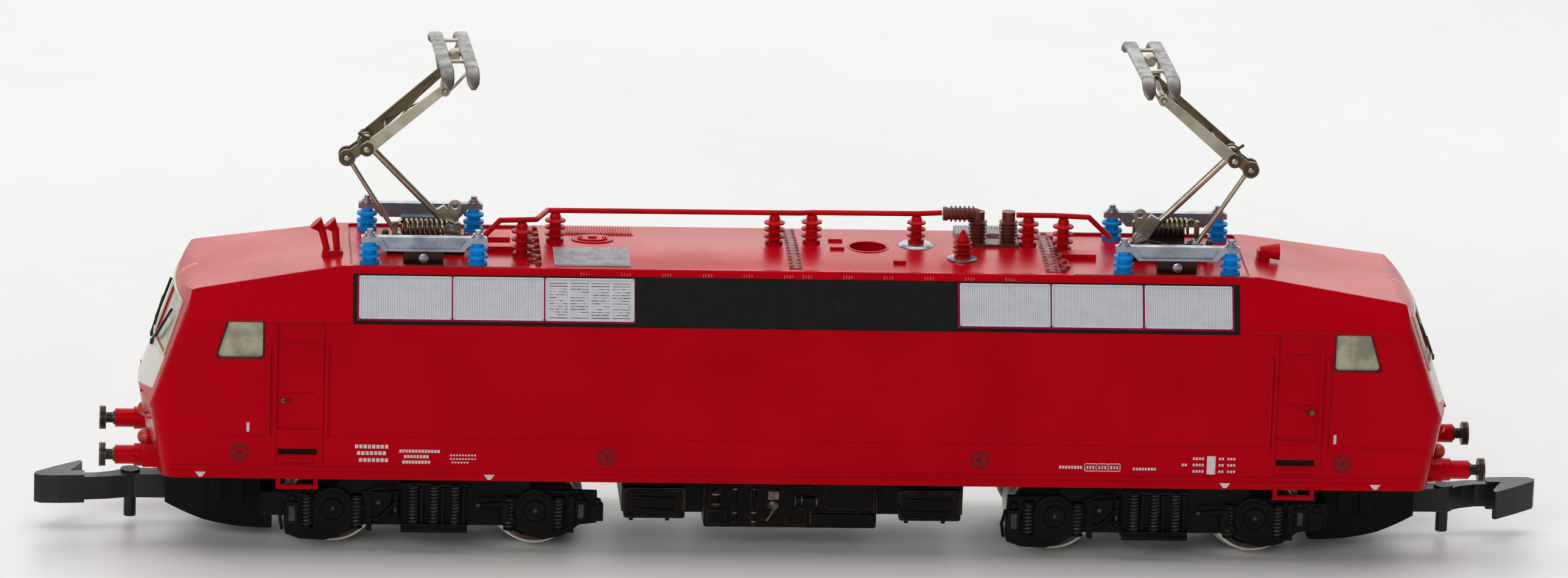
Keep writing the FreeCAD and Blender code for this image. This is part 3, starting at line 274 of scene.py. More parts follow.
finishes = {
    "red_paint": material("red_enamel", RED, DEEP_RED, (0.20, 0.34), grain=0.12, patch=7, relief=0.004,
        gloss=0.5, gloss_tint=RED_GLOSS, soften=0.16, painter=nose_bib),
    "red_plastic": material("red_moulding", (0.56, 0.004, 0.008), (0.36, 0.002, 0.006), (0.3, 0.5),
        grain=0.2, gloss_tint=(1.0, 0.15, 0.15)),
    "red_worn": material("red_rubbed", (0.62, 0.10, 0.10), (0.50, 0.03, 0.03), (0.35, 0.5), grain=0.1,
        patch=0.6, gloss_tint=(1.0, 0.2, 0.2)),
    "brown_red": material("breaker_brown_red", (0.16, 0.025, 0.010), (0.09, 0.012, 0.006), (0.35, 0.5),
        grain=0.15, patch=0.8),
    "glazing": material("cab_glazing", (0.46, 0.43, 0.30), (0.24, 0.22, 0.16), (0.12, 0.3), patch=1.4),
    "pale_frame": material("pale_frame", (0.62, 0.60, 0.50), (0.52, 0.50, 0.42), (0.35, 0.5), grain=0.1,
        patch=1),
    "window_rubber": material("window_rubber", (0.10, 0.012, 0.012), (0.05, 0.008, 0.008), (0.5, 0.7),
        grain=0.1, patch=0.8, gloss=0.2),
    "black_metal": material("blackened_steel", (0.03, 0.027, 0.022), (0.015, 0.014, 0.012), (0.3, 0.5),
        metal=0.6, edge=(0.36, 0.30, 0.16), gloss=0.3),
    "lamp": material("lamp_plastic", (0.62, 0.07, 0.035), (0.45, 0.03, 0.02), (0.2, 0.35)),
    "blue_plastic": material("insulator_blue", (0.003, 0.30, 0.80), (0.002, 0.22, 0.66), (0.35, 0.55),
        grain=0.15, gloss_tint=(0.3, 0.6, 1.0)),
    "silver": material("silver_zinc", (0.40, 0.42, 0.47), (0.27, 0.285, 0.33), (0.25, 0.45), metal=0.85,
        grain=0.2, patch=1.2),
    "panto_rails": material("panto_rail_silver", (0.40, 0.42, 0.48), (0.26, 0.28, 0.34), (0.25, 0.42),
        metal=0.8, grain=0.2, patch=1.2, painter=brown_foot),
    "panto_strips": material("contact_strip_silver", (0.33, 0.32, 0.32), (0.20, 0.19, 0.18), (0.3, 0.5),
        metal=0.8, grain=0.2, patch=0.9, painter=brown_horns),
    "nickel": material("nickel_silver", (0.50, 0.45, 0.35), (0.38, 0.33, 0.25), (0.25, 0.45), metal=0.9,
        grain=0.15, patch=1.5, edge=(0.10, 0.07, 0.04)),
    # the upper arms' far bars and middles get painted shade
    "panto_bars": material("panto_bar_metal", (0.50, 0.45, 0.35), (0.36, 0.31, 0.23), (0.25, 0.45),
        metal=0.9, grain=0.15, patch=1.5, painter=painted_shade_far_side),
    "bronze": material("dark_bronze", (0.10, 0.07, 0.04), (0.05, 0.035, 0.02), (0.3, 0.5), metal=0.9,
        edge=(0.5, 0.42, 0.3), edge_radius=0.04),
    "spring_wire": material("spring_bronze", (0.46, 0.40, 0.27), (0.26, 0.20, 0.12), (0.22, 0.4), metal=1.0,
        grain=0.1, patch=0.4),
    "steel": material("plain_steel", (0.42, 0.42, 0.42), (0.3, 0.3, 0.3), (0.25, 0.4), metal=1.0),
    "zinc": material("zinc_casting", (0.05, 0.048, 0.048), (0.03, 0.028, 0.028), (0.45, 0.65), metal=0.5),
    "black_plastic": material("black_moulding", (0.004, 0.0039, 0.004), (0.0025, 0.0025, 0.0025),
        (0.42, 0.62), grain=0.2, relief=0.01, edge=(0.04, 0.037, 0.033), gloss=0.12),
    "spring_black": material("spring_black", (0.05, 0.047, 0.043), (0.022, 0.02, 0.018), (0.3, 0.5),
        grain=0.1, patch=0.5, metal=0.4),
    "band_black": material("band_black", (0.007, 0.006, 0.006), (0.005, 0.0045, 0.0045), (0.4, 0.6),
        grain=0.08, relief=0.008, gloss=0.14, dust=(0.025, 0.023, 0.023), dust_amount=0.15, patch=1.2),
    "grille_grey": material("grille_grey", (0.60, 0.61, 0.645), (0.56, 0.57, 0.605), (0.4, 0.6), grain=0.1,
        patch=0.8),
    "outline_red": material("outline_crimson", (0.34, 0.002, 0.04), (0.26, 0.002, 0.03), (0.4, 0.55),
        grain=0.1, gloss_tint=(1.0, 0.2, 0.3)),
    "louvre_dark": material("louvre_dark", (0.16, 0.03, 0.035), (0.10, 0.04, 0.04), (0.5, 0.7), grain=0.1,
        patch=0.4, gloss=0.2),
    "relief_dark": material("roof_relief_dark", (0.30, 0.05, 0.05), (0.12, 0.012, 0.014), (0.3, 0.5),
        grain=0.1, patch=0.45, gloss_tint=(1.0, 0.3, 0.3)),
    "mesh_grey": material("roof_mesh_grey", (0.36, 0.34, 0.37), (0.26, 0.24, 0.26), (0.35, 0.55), grain=0.1,
        patch=0.7),
    "print_white": material("print_white", (0.72, 0.66, 0.66), (0.60, 0.50, 0.50), (0.45, 0.6), grain=0.06,
        patch=0.4),
    "print_dark": material("print_dark", (0.10, 0.012, 0.016), (0.06, 0.008, 0.010), (0.45, 0.6),
        grain=0.06, patch=0.4, gloss=0.2),
    "coupler": material("coupler_black", (0.008, 0.008, 0.009), (0.005, 0.005, 0.005), (0.32, 0.46),
        gloss=0.4, edge=(0.12, 0.10, 0.05), edge_radius=0.08),
    "tank": material("tank_brown_black", (0.006, 0.004, 0.0035), (0.003, 0.0025, 0.0025), (0.35, 0.55),
        gloss=0.1, edge=(0.17, 0.13, 0.07), edge_radius=0.08),
    "tank_bright": material("tank_rubbed_metal", (0.20, 0.16, 0.13), (0.04, 0.03, 0.025), (0.25, 0.45),
        metal=0.8, grain=0.12, patch=0.5),
    "copper": material("copper", (0.45, 0.2, 0.1), (0.3, 0.12, 0.06), (0.3, 0.45), metal=1.0),
    "brass": material("brass", (0.5, 0.36, 0.14), (0.36, 0.25, 0.1), (0.28, 0.42), metal=1.0),
    "board": material("board_green", (0.02, 0.12, 0.05), (0.015, 0.08, 0.035), (0.3, 0.5)),
    "gear": material("gear_ivory", (0.6, 0.56, 0.45), (0.5, 0.46, 0.36), (0.4, 0.55)),
    "wheel": material("wheel_steel", (0.10, 0.05, 0.035), (0.05, 0.028, 0.02), (0.22, 0.4), metal=0.6,
        painter=polished_tread),
}

finish_of_node = {
    "body_shell": "red_paint", "cab_glazing": "glazing", "buffers": "black_metal", "wipers": "black_metal",
    "headlamp_lenses": "lamp", "horn": "red_plastic", "roof_insulators": "red_plastic",
    "roof_conductor": "red_plastic", "main_breaker": "brown_red", "terminal_base": "silver",
    "selector_screw": "steel", "chassis_block": "zinc", "underfloor_tank": "tank", "motor_case": "steel",
    "motor_magnets": "zinc", "motor_brushes": "copper", "motor_rotor": "steel", "worms": "brass",
    "circuit_board": "board", "board_screws": "steel", "cab_lamps": "glazing", "panto_base": "panto_rails",
    "panto_insulators": "blue_plastic", "panto_spring": "brass", "lower_arm": "nickel",
    "coupling_rod": "nickel", "upper_arm": "panto_bars", "panto_head": "panto_strips",
    "bogie": "black_plastic", "worm_wheel": "gear", "centre_gear": "gear", "idler_gear": "gear",
    "wheelset": "wheel", "coupler": "coupler", "coupler_spring": "steel",
}


# each CAD node takes the finish of the longest stem that its name starts with
for node_name, node in frame["nodes"].items():
    stem = max((stem for stem in finish_of_node if node_name.startswith(stem)), key=len)
    node.data.materials.clear()
    node.data.materials.append(finishes[finish_of_node[stem]])


# ---------------- mesh building
def turned(centre, axis, radius, angle, along):
    """The point at a radius and angle about an axis through a centre, and a distance along it."""
    turn = Vector(axis).to_track_quat("Z", "Y")
    return Vector(centre) + turn @ Vector((radius * math.cos(angle), radius * math.sin(angle), along))


class Shape:
    """A mesh being built, in millimetres."""

    def __init__(self):
        self.mesh = bmesh.new()

    def skin(self, rings, closed=False):
        """Faces between rings of equal length, capped unless the last ring joins the first."""
        rows = [[self.mesh.verts.new(point) for point in ring] for ring in rings]
        pairs = list(zip(rows, rows[1:]))
        if closed:
            pairs.append((rows[-1], rows[0]))
        for a, b in pairs:
            for i in range(len(a)):
                j = (i + 1) % len(a)
                self.mesh.faces.new((a[i], a[j], b[j], b[i]))
        if not closed:
            self.mesh.faces.new(rows[0][::-1])
            self.mesh.faces.new(rows[-1])

    def block(self, low, high):
        """A box between two corners."""
        (x0, y0, z0), (x1, y1, z1) = low, high
        self.skin([[(x0, y0, z), (x1, y0, z), (x1, y1, z), (x0, y1, z)] for z in (z0, z1)])

    def plate(self, outline, low, high):
        """An outline in the first two coordinates, extruded along the third."""
        self.skin([[(u, v, w) for u, v in outline] for w in (low, high)])

    def lathe(self, profile, centre, axis, sides=20):
        """A turned shape; profile is pairs of radius and distance along the axis."""
        angles = [math.tau * i / sides for i in range(sides)]
        self.skin([[turned(centre, axis, radius, a, along) for a in angles] for radius, along in profile])

    def ring(self, centre, axis, outer, inner, thick, sides=24):
        """A flat washer."""
        angles = [math.tau * i / sides for i in range(sides)]
        corners = [(inner, 0), (outer, 0), (outer, thick), (inner, thick)]
        self.skin([[turned(centre, axis, r, a, w) for r, w in corners] for a in angles], closed=True)

    def tube(self, points, radius, sides=8, closed=False):
        """Round wire along a line of points."""
        points = [Vector(point) for point in points]
        count = len(points)
        normal = None
        rings = []
        for i, point in enumerate(points):
            if closed:
                along = points[(i + 1) % count] - points[i - 1]
            else:
                along = points[min(i + 1, count - 1)] - points[max(i - 1, 0)]
            along.normalize()
            if normal is None:
                normal = along.orthogonal()
            normal = (normal - along * normal.dot(along)).normalized()
            side = along.cross(normal)
            angles = [math.tau * k / sides for k in range(sides)]
            rings.append([point + (normal * math.cos(a) + side * math.sin(a)) * radius for a in angles])
        self.skin(rings, closed)

    def coil(self, start, end, radius, wire, turns, per_turn=14):
        """A helical spring between two points."""
        start, end = Vector(start), Vector(end)
        axis = (end - start).normalized()
        across = axis.orthogonal().normalized()
        other = axis.cross(across)
        steps = int(turns * per_turn)
        points = []
        for i in range(steps + 1):
            a = math.tau * i / per_turn
            points.append(start.lerp(end, i / steps) + (across * math.cos(a) + other * math.sin(a)) * radius)
        self.tube(points, wire, 6)

    def done(self, name, body, finish, slot, places=(SAME,), bevel=0.0):
        """The finished piece, copied to its places, with softened edges, riding on its body."""
        data = bpy.data.meshes.new(name)
        self.mesh.to_mesh(data)
        self.mesh.free()
        whole = bmesh.new()
        for place in places:
            first = len(whole.verts)
            whole.from_mesh(data)
            whole.verts.ensure_lookup_table()
            bmesh.ops.transform(whole, matrix=place, verts=whole.verts[first:])
        bmesh.ops.recalc_face_normals(whole, faces=whole.faces)
        bmesh.ops.scale(whole, vec=(MM, MM, MM), verts=whole.verts)
        whole.to_mesh(data)
        whole.free()
        for polygon in data.polygons:
            polygon.use_smooth = True
        data.set_sharp_from_angle(angle=math.radians(38))
        data.materials.append(finishes[finish])
        piece = bpy.data.objects.new(name, data)
        bpy.context.scene.collection.objects.link(piece)
        if bevel:
            edges = piece.modifiers.new("edges", "BEVEL")
            edges.width = bevel * MM
            edges.segments = 2
            edges.limit_method = "ANGLE"
        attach(piece, body)
        return piece


def frame_on(origin, u, v, w):
    """The matrix that puts (u, v, w) coordinates on a face with those directions."""
    matrix = Matrix((u, v, w)).transposed().to_4x4()
    matrix.translation = origin
    return matrix


# the body's faces, from its box: its widest parts are ribs, and its highest is the crown of the roof
rib_proud, crown_rise, lean_height = 0.15, 0.26, 3.2
body_high = span("body_shell")[1]
side_y = body_high[1] - rib_proud
roof_z = body_high[2] - crown_rise
shoulder_z = roof_z - lean_height  # where the side wall starts to lean in
roof_half = 5.0
slope_length = math.hypot(side_y - roof_half, roof_z - shoulder_z)
slope_in, slope_up = (side_y - roof_half) / slope_length, (roof_z - shoulder_z) / slope_length
# coordinates on the near side wall: X, height, distance out of the wall
NEAR_SIDE = frame_on((0, -side_y, 0), (1, 0, 0), (0, 0, 1), (0, -1, 0))
# coordinates on the leaning wall above it: X, distance up from the shoulder, distance out of the wall
NEAR_SLOPE = frame_on((0, -side_y, shoulder_z), (1, 0, 0), (0, slope_in, slope_up), (0, -slope_up, slope_in))
BOTH_SIDES = [NEAR_SIDE, HALF_TURN @ NEAR_SIDE]
BOTH_SLOPES = [NEAR_SLOPE, HALF_TURN @ NEAR_SLOPE]
FOUR_SIDES = [way @ NEAR_SIDE for way in FOUR_WAYS]


# ---------------- grille band
band_x = (-28.3, 27.75)
band_top = 3.12
panel_v = (0.22, 2.98)
ribbed_panels = [(-27.9, -22.1), (-22.0, -16.3), (9.98, 15.7), (15.8, 21.55), (21.7, 27.25)]
louvre_panel = (-16.2, -10.6)


def add_grille_band():
    """The dark band of air intakes on the leaning walls, with its pale panels, and the marks above it."""
    band = Shape()
    band.block((band_x[0], -0.02, -0.05), (band_x[1], band_top, 0.035))
    band.done("grille_band", "chassis", "band_black", "dark_plastic", BOTH_SLOPES)
    hem = Shape()
    hem.block((band_x[0], shoulder_z - 0.12, -0.05), (band_x[1], shoulder_z + 0.02, 0.035))
    hem.done("grille_hem", "chassis", "band_black", "dark_plastic", BOTH_SIDES)

    outline = Shape()
    line = 0.075
    for x0, x1 in ((-27.95, louvre_panel[1]), (9.93, 27.3)):
        outline.block((x0 - line, panel_v[0] - line * 1.6, -0.02), (x1 + line, panel_v[1], 0.06))
    outline.done("grille_outline", "chassis", "outline_red", "red_paint", BOTH_SLOPES)

    panels = Shape()
    border, rib, pitch = 0.1, 0.085, 0.142
    v0, v1 = panel_v
    for x0, x1 in ribbed_panels + [louvre_panel]:
        panels.block((x0, v0, 0), (x1, v1, 0.085))
        for low, high in (((x0, v0), (x0 + border, v1)), ((x1 - border, v0), (x1, v1)),
                          ((x0, v0), (x1, v0 + border)), ((x0, v1 - border), (x1, v1))):
            panels.block((*low, 0.08), (*high, 0.15))
    for x0, x1 in ribbed_panels:
        count = round((x1 - x0 - 2 * border) / pitch)
        step = (x1 - x0 - 2 * border) / count
        for i in range(count):
            x = x0 + border + (i + 0.5) * step
            panels.block((x - rib / 2, v0 + border, 0.08), (x + rib / 2, v1 - border, 0.125))
    x0, x1 = louvre_panel
    columns, rows = 4, 13
    column_pitch = (x1 - x0 - 0.3) / columns
    row_pitch = (v1 - v0 - 0.36) / rows
    slots = Shape()
    worn = random.Random(5)
    for column in range(columns):
        left = x0 + 0.25 + column * column_pitch
        for row in range(rows):
            v = v0 + 0.2 + row * row_pitch
            panels.block((left, v + 0.05, 0.08), (left + column_pitch - 0.2, v + row_pitch - 0.02, 0.115))
            whole = row >= rows - 2 or row == 0
            start, end = 0.0, column_pitch - 0.2
            while start < end - 0.05:
                length = end if whole else min(worn.uniform(0.06, 0.5), end - start)
                if whole or worn.random() < 0.55:
                    high = v + worn.uniform(0.015, 0.035)
                    slots.block((left + start, v - 0.01, 0.08),
                                (left + min(start + length, end), high, 0.092))
                start += length + worn.uniform(0.03, 0.12)
    panels.done("grille_panels", "chassis", "grille_grey", "silver_metal", BOTH_SLOPES)
    slots.done("grille_slots", "chassis", "louvre_dark", "red_paint", BOTH_SLOPES)

    marks = Shape()
    pitch = 2.57
    for x in [-13.68 + pitch * i for i in range(6)] + [0.33 + pitch * i for i in range(6)]:
        for stroke in range(4):
            left = x - 0.3 + 0.17 * stroke
            marks.block((left, 3.14 + 0.05 * (stroke % 2), -0.02), (left + 0.08, 3.38, 0.035))
    marks.done("cant_rail_marks", "chassis", "red_worn", "red_paint", BOTH_SLOPES, bevel=0.01)


# ---------------- sides
door_x0, door_x1, door_z0, door_z1 = 30.3, 32.95, 8.35, 15.2
window = [(33.85, 12.98), (36.85, 12.98), (36.1, 15.4), (33.85, 15.4)]


def add_side_trim():
    """Door rails, sills, solebar ribs, window rubbers, painted shade in the step slots, and door handles."""
    trim = Shape()
    for x0, x1 in ((door_x0 - 0.28, door_x0 - 0.02), (door_x1 + 0.02, door_x1 + 0.28)):
        trim.block((x0, 5.9, -0.05), (x1, door_z1, 0.06))
    trim.block((door_x0 - 0.05, door_z0 - 0.22, -0.05), (door_x1 + 0.05, door_z0 - 0.03, 0.05))
    trim.block((door_x0 + 0.35, 10.6, -0.15), (door_x1 - 0.35, 10.72, -0.07))
    trim.block((door_x0 + 0.35, 13.9, -0.15), (door_x1 - 0.35, 14.02, -0.07))
    trim.block((door_x0 + 0.1, 5.98, -0.05), (door_x1 - 0.1, 6.1, 0.04))
    trim.block((door_x1 + 0.75, 7.83, -0.05), (39.3, 7.93, 0.035))
    trim.block((28.2, shoulder_z - 0.06, -0.05), (37.6, shoulder_z + 0.06, 0.05))
    trim.done("side_trim", "chassis", "red_paint", "red_paint", FOUR_SIDES, bevel=0.02)
    ledge = Shape()
    ledge.block((-29.6, 7.86, -0.05), (29.6, 7.9, 0.015))
    for z in (5.52, 5.86):
        ledge.block((-39.6, z, -0.05), (39.6, z + 0.07, 0.03))
    ledge.done("solebar_ribs", "chassis", "red_paint", "red_paint", BOTH_SIDES, bevel=0.01)

    surround = Shape()
    for (x0, z0), (x1, z1) in zip(window, window[1:] + window[:1]):
        steps = 6
        points = [(x0 + (x1 - x0) * i / steps, z0 + (z1 - z0) * i / steps, 0.0) for i in range(steps + 1)]
        surround.tube(points, 0.06)
    surround.done("window_rubbers", "chassis", "window_rubber", "dark_plastic", FOUR_SIDES)
    # painted shade: a black plate sunk in each step slot darkens the recess
    slot = Shape()
    slot.block((door_x0 + 0.12, 6.65, -0.48), (door_x1 - 0.12, 7.03, -0.3))
    slot.done("step_slot_painted_shade", "chassis", "band_black", "dark_plastic", FOUR_SIDES)
    handles = Shape()
    handles.lathe([(0.16, -0.13), (0.16, -0.05), (0.07, -0.03), (0.07, 0.03), (0.13, 0.06)],
                  (door_x1 - 0.4, 10.2, 0), Z_AXIS)
    handles.tube([(door_x1 - 0.4, 10.2, 0.05), (door_x1 - 0.75, 10.17, 0.07), (door_x1 - 0.95, 10.15, 0.06)],
                 0.05)
    handles.done("door_handles", "chassis", "black_metal", "dark_metal", FOUR_SIDES)


def dashes(shape, x0, x1, z, height=0.2, stroke=0.13, gap=0.06):
    """A row of short blank bars, in place of small print."""
    x = x0
    while x < x1 - stroke / 2:
        shape.block((x, z - height / 2, -0.02), (x + stroke, z + height / 2, 0.012))
        x += stroke + gap


def add_side_marks():
    """Blank white bars and dark ring stamps, in place of the small print."""
    white = Shape()
    for z in (7.25, 6.82, 6.36):
        dashes(white, -28.0 + abs(z - 7.25) * 0.3, -25.9, z, 0.24, 0.2, 0.07)
    for z, x0, x1 in ((6.98, -25.2, -22.7), (6.62, -24.9, -23.4), (6.26, -25.0, -23.3)):
        dashes(white, x0, x1, z, 0.2, 0.15, 0.05)
    for z, x0, x1 in ((6.74, -22.0, -20.3), (6.5, -22.0, -20.4), (6.26, -21.9, -20.8)):
        dashes(white, x0, x1, z, 0.1, 0.12, 0.07)
    dashes(white, 16.6, 18.0, 6.42)
    for z in (6.16, 6.64):
        white.block((18.2, z, -0.02), (20.5, z + 0.05, 0.012))
    for x in (18.2, 18.95, 19.7, 20.45):
        white.block((x, 6.16, -0.02), (x + 0.05, 6.69, 0.012))
    dashes(white, 18.35, 20.4, 6.42, 0.22, 0.1, 0.09)
    dashes(white, 21.3, 22.8, 6.35, 0.17)
    white.block((26.0, 6.05, -0.02), (26.55, 7.25, 0.012))
    for z in (7.08, 6.66, 6.24):
        dashes(white, 25.1, 25.9, z, 0.17)
        dashes(white, 26.75, 27.1, z, 0.15)
        dashes(white, 27.3, 27.75, z, 0.15)
    dashes(white, 24.4, 24.8, 6.66, 0.17)
    white.block((34.0, 8.15, -0.02), (34.18, 8.75, 0.012))
    white.block((-34.85, 8.15, -0.02), (-34.67, 8.75, 0.012))
    for x in (-37.7, -19.5, 27.2, 36.8):
        white.plate([(x - 0.34, 5.48), (x + 0.34, 5.48), (x + 0.1, 5.16), (x - 0.1, 5.16)], -0.02, 0.045)
    white.done("side_print", "chassis", "print_white", "silver_metal", BOTH_SIDES)

    stamps = Shape()
    for x, z in ((-35.28, 6.79), (-12.1, 6.74), (11.52, 6.79), (34.63, 6.82)):
        stamps.ring((x, z, -0.01), Z_AXIS, 0.6, 0.5, 0.022)
        stamps.ring((x, z, -0.01), Z_AXIS, 0.42, 0.35, 0.02)
        stamps.lathe([(0.2, -0.01), (0.2, 0.012)], (x, z, 0), Z_AXIS, 12)
    stamps.done("side_ring_stamps", "chassis", "print_dark", "dark_plastic", BOTH_SIDES)


# ---------------- noses
def on_nose(y, z):
    """A point on the front nose: bowed in plan, raked above its crease and tucked in below it."""
    nose_x, nose_z, bow = 41.7, 9.7, 0.93
    rake = 0.355 if z > nose_z else -0.18
    return (nose_x - bow * (y / side_y) ** 2 - rake * (z - nose_z), y, z)


def add_nose_details():
    """Windscreen frames, lamp rings, grips and buffer rims of both noses."""
    frames = Shape()
    low_half, top_half, low_z, top_z = 5.16, 4.82, 12.66, 16.08
    steps = 10
    low = [(low_half * (2 * i / steps - 1), low_z) for i in range(steps + 1)]
    top = [(top_half * (1 - 2 * i / steps), top_z) for i in range(steps + 1)]
    frames.tube([on_nose(y, z) for y, z in low + top], 0.11, closed=True)
    frames.tube([on_nose(0, low_z + (top_z - low_z) * i / 4) for i in range(5)], 0.12)
    frames.done("windscreen_frames", "chassis", "pale_frame", "silver_metal", BOTH_ENDS)

    rings = Shape()
    lamp_z = 6.65
    for half_spacing, outer, inner, thick in ((3.05, 0.66, 0.53, 0.22), (2.0, 0.44, 0.33, 0.2)):
        for y in (-half_spacing, half_spacing):
            rings.ring((on_nose(y, lamp_z)[0] - 0.1, y, lamp_z), X_AXIS, outer, inner, thick)
    rings.block((on_nose(0, 9.75)[0] - 0.12, -3.4, 9.7), (on_nose(3.4, 9.75)[0] + 0.02, 3.4, 9.8))
    rings.done("lamp_rings", "chassis", "red_paint", "red_paint", BOTH_ENDS, bevel=0.02)

    grips = Shape()
    for side in (-1, 1):
        x0, x1 = on_nose(side * 5.4, 8.6)[0], on_nose(side * 4.4, 8.6)[0]
        grips.tube([(x0 - 0.1, side * 5.5, 8.6), (x0 + 0.22, side * 5.4, 8.6), (x1 + 0.25, side * 4.4, 8.6),
                    (x1 - 0.05, side * 4.3, 8.6)], 0.07)
        pad_x = on_nose(side * 4.0, 5.5)[0]
        grips.block((pad_x - 0.3, side * 4.0 - 0.9, 5.15), (pad_x + 0.08, side * 4.0 + 0.9, 5.3))
    grips.done("nose_grips", "chassis", "red_plastic", "red_plastic", BOTH_ENDS, bevel=0.015)
    rims = Shape()
    rim_thick = 0.1
    (_, _, buffer_foot), (buffer_face, _, buffer_top) = span("buffers")
    for y in (-4.0, 4.0):
        centre = (buffer_face - rim_thick, y, (buffer_foot + buffer_top) / 2)
        rims.ring(centre, X_AXIS, 0.755, 0.6, rim_thick, 28)
    rims.done("buffer_rims", "chassis", "bronze", "dark_metal", BOTH_ENDS)


# ---------------- roof
def crown(y):
    """Height of the arched roof panel above the frame."""
    half = 4.72
    return roof_z + crown_rise * (1 - (y / half) ** 2)


def arched_strip(shape, x0, x1, y0, y1, thick, steps=14):
    """A strip that follows the arch of the roof."""
    rings = []
    for i in range(steps + 1):
        y = y0 + (y1 - y0) * i / steps
        z = crown(y)
        rings.append([(x0, y, z - 0.1), (x1, y, z - 0.1), (x1, y, z + thick), (x0, y, z + thick)])
    shape.skin(rings)


def add_roof_details():
    """Seams, mesh grilles, louvres, hatch, knobs, well rims and the foot of the arrester."""
    seams = Shape()
    screw = [(0.11, -0.05), (0.11, 0.04), (0.05, 0.08)]
    for x in (-0.35, 15.9):
        arched_strip(seams, x - 0.42, x + 0.42, -4.5, 4.5, 0.05)
        for k in range(15):
            y = -4.2 + 0.6 * k
            for dx in (-0.27, 0.27):
                seams.lathe(screw, (x + dx, y, crown(y) + 0.03), Z_AXIS, 10)
    seams.done("roof_seams", "chassis", "relief_dark", "red_paint", bevel=0.01)

    pale = Shape()
    arched_strip(pale, -15.6, -10.8, -4.5, -1.1, 0.05)
    for k in range(35):
        x = -15.54 + 0.137 * k
        arched_strip(pale, x, x + 0.075, -4.42, -1.18, 0.09, 6)
    pale.block((10.3, 2.7, roof_z), (14.4, 4.6, 19.05))
    for k in range(24):
        x = 10.42 + 0.165 * k
        pale.block((x, 2.62, 18.85), (x + 0.09, 4.5, 19.12))
    pale.done("roof_mesh_grilles", "chassis", "mesh_grey", "silver_metal")

    louvres = Shape()
    arched_strip(louvres, -14.9, -10.3, 2.1, 4.6, 0.03)
    for k in range(26):
        x = -14.8 + 0.17 * k
        arched_strip(louvres, x, x + 0.1, 2.2, 4.5, 0.12, 6)
    for x0, x1, y0, y1, top in ((-19.8, -18.0, -1.0, -0.1, 0.25), (16.9, 19.0, -1.0, 0.1, 0.22),
                                (-19.6, -18.2, 1.4, 2.6, 0.18), (2.05, 2.95, -0.75, -0.4, 0.42),
                                (2.05, 2.95, 1.15, 1.5, 0.42), (5.9, 6.7, -3.4, -2.9, 0.32)):
        louvres.block((x0, y0, 18.4), (x1, y1, roof_z + top))
    louvres.ring((selector_x, 0, 18.8), Z_AXIS, 1.34, 1.16, 0.09, 36)
    louvres.done("roof_louvres", "chassis", "red_plastic", "red_plastic", bevel=0.02)

    hatch = Shape()
    centre_x, centre_y, half_x, half_y = -13.0, 0.9, 1.35, 0.95
    angles = [math.tau * i / 36 for i in range(36)]
    oval = [(centre_x + half_x * math.cos(a), centre_y + half_y * math.sin(a)) for a in angles]
    hatch.plate(oval, 18.7, 18.93)
    lid = [(centre_x + (x - centre_x) * 0.72, centre_y + (y - centre_y) * 0.68) for x, y in oval]
    hatch.plate(lid, 18.9, 19.02)
    hatch.lathe([(0.3, 0), (0.3, 0.12), (0.18, 0.16)], (centre_x, centre_y, 18.98), Z_AXIS)
    for dx in (-0.75, 0.75):
        hatch.lathe([(0.14, 0), (0.14, 0.1)], (centre_x + dx, centre_y, 18.98), Z_AXIS, 12)
    hatch.done("roof_hatch", "chassis", "red_plastic", "red_plastic", bevel=0.02)

    knobs = Shape()
    knob = [(0.2, 0), (0.2, 0.16), (0.13, 0.24), (0.05, 0.27)]
    for x_side in (-1, 1):
        for k in range(13):
            x = x_side * (16.62 + 0.32 * (k % 2)) - 0.05 * k * (x_side + 1) / 2
            y = -4.2 + 0.68 * k
            knobs.lathe(knob, (x, y, roof_z - 0.03), Z_AXIS, 12)
            top = roof_z + 0.08 + 0.05 * (k % 3)
            knobs.block((x - 0.33, y + 0.2, roof_z - 0.05), (x + 0.25, y + 0.42, top))
    knobs.done("roof_knobs", "chassis", "relief_dark", "red_paint", bevel=0.02)
    rims = Shape()
    for side in (-1, 1):
        rims.block((17.3, side * 4.86 - 0.1, roof_z - 0.03), (28.3, side * 4.86 + 0.1, roof_z + 0.02))
    rims.done("well_rims", "chassis", "brown_red", "red_plastic", BOTH_ENDS)
    foot = Shape()
    foot_x, foot_y = 10.35, -2.2
    foot.lathe([(0.95, -0.02), (0.95, 0.05), (0.78, 0.09), (0.6, 0.1)], (foot_x, foot_y, crown(foot_y)),
               Z_AXIS, 28)
    foot.done("arrester_foot", "chassis", "silver", "silver_metal")


# ---------------- pantographs
pan_roll = 5.8                  # the contact strips hang askew, far end up, in degrees


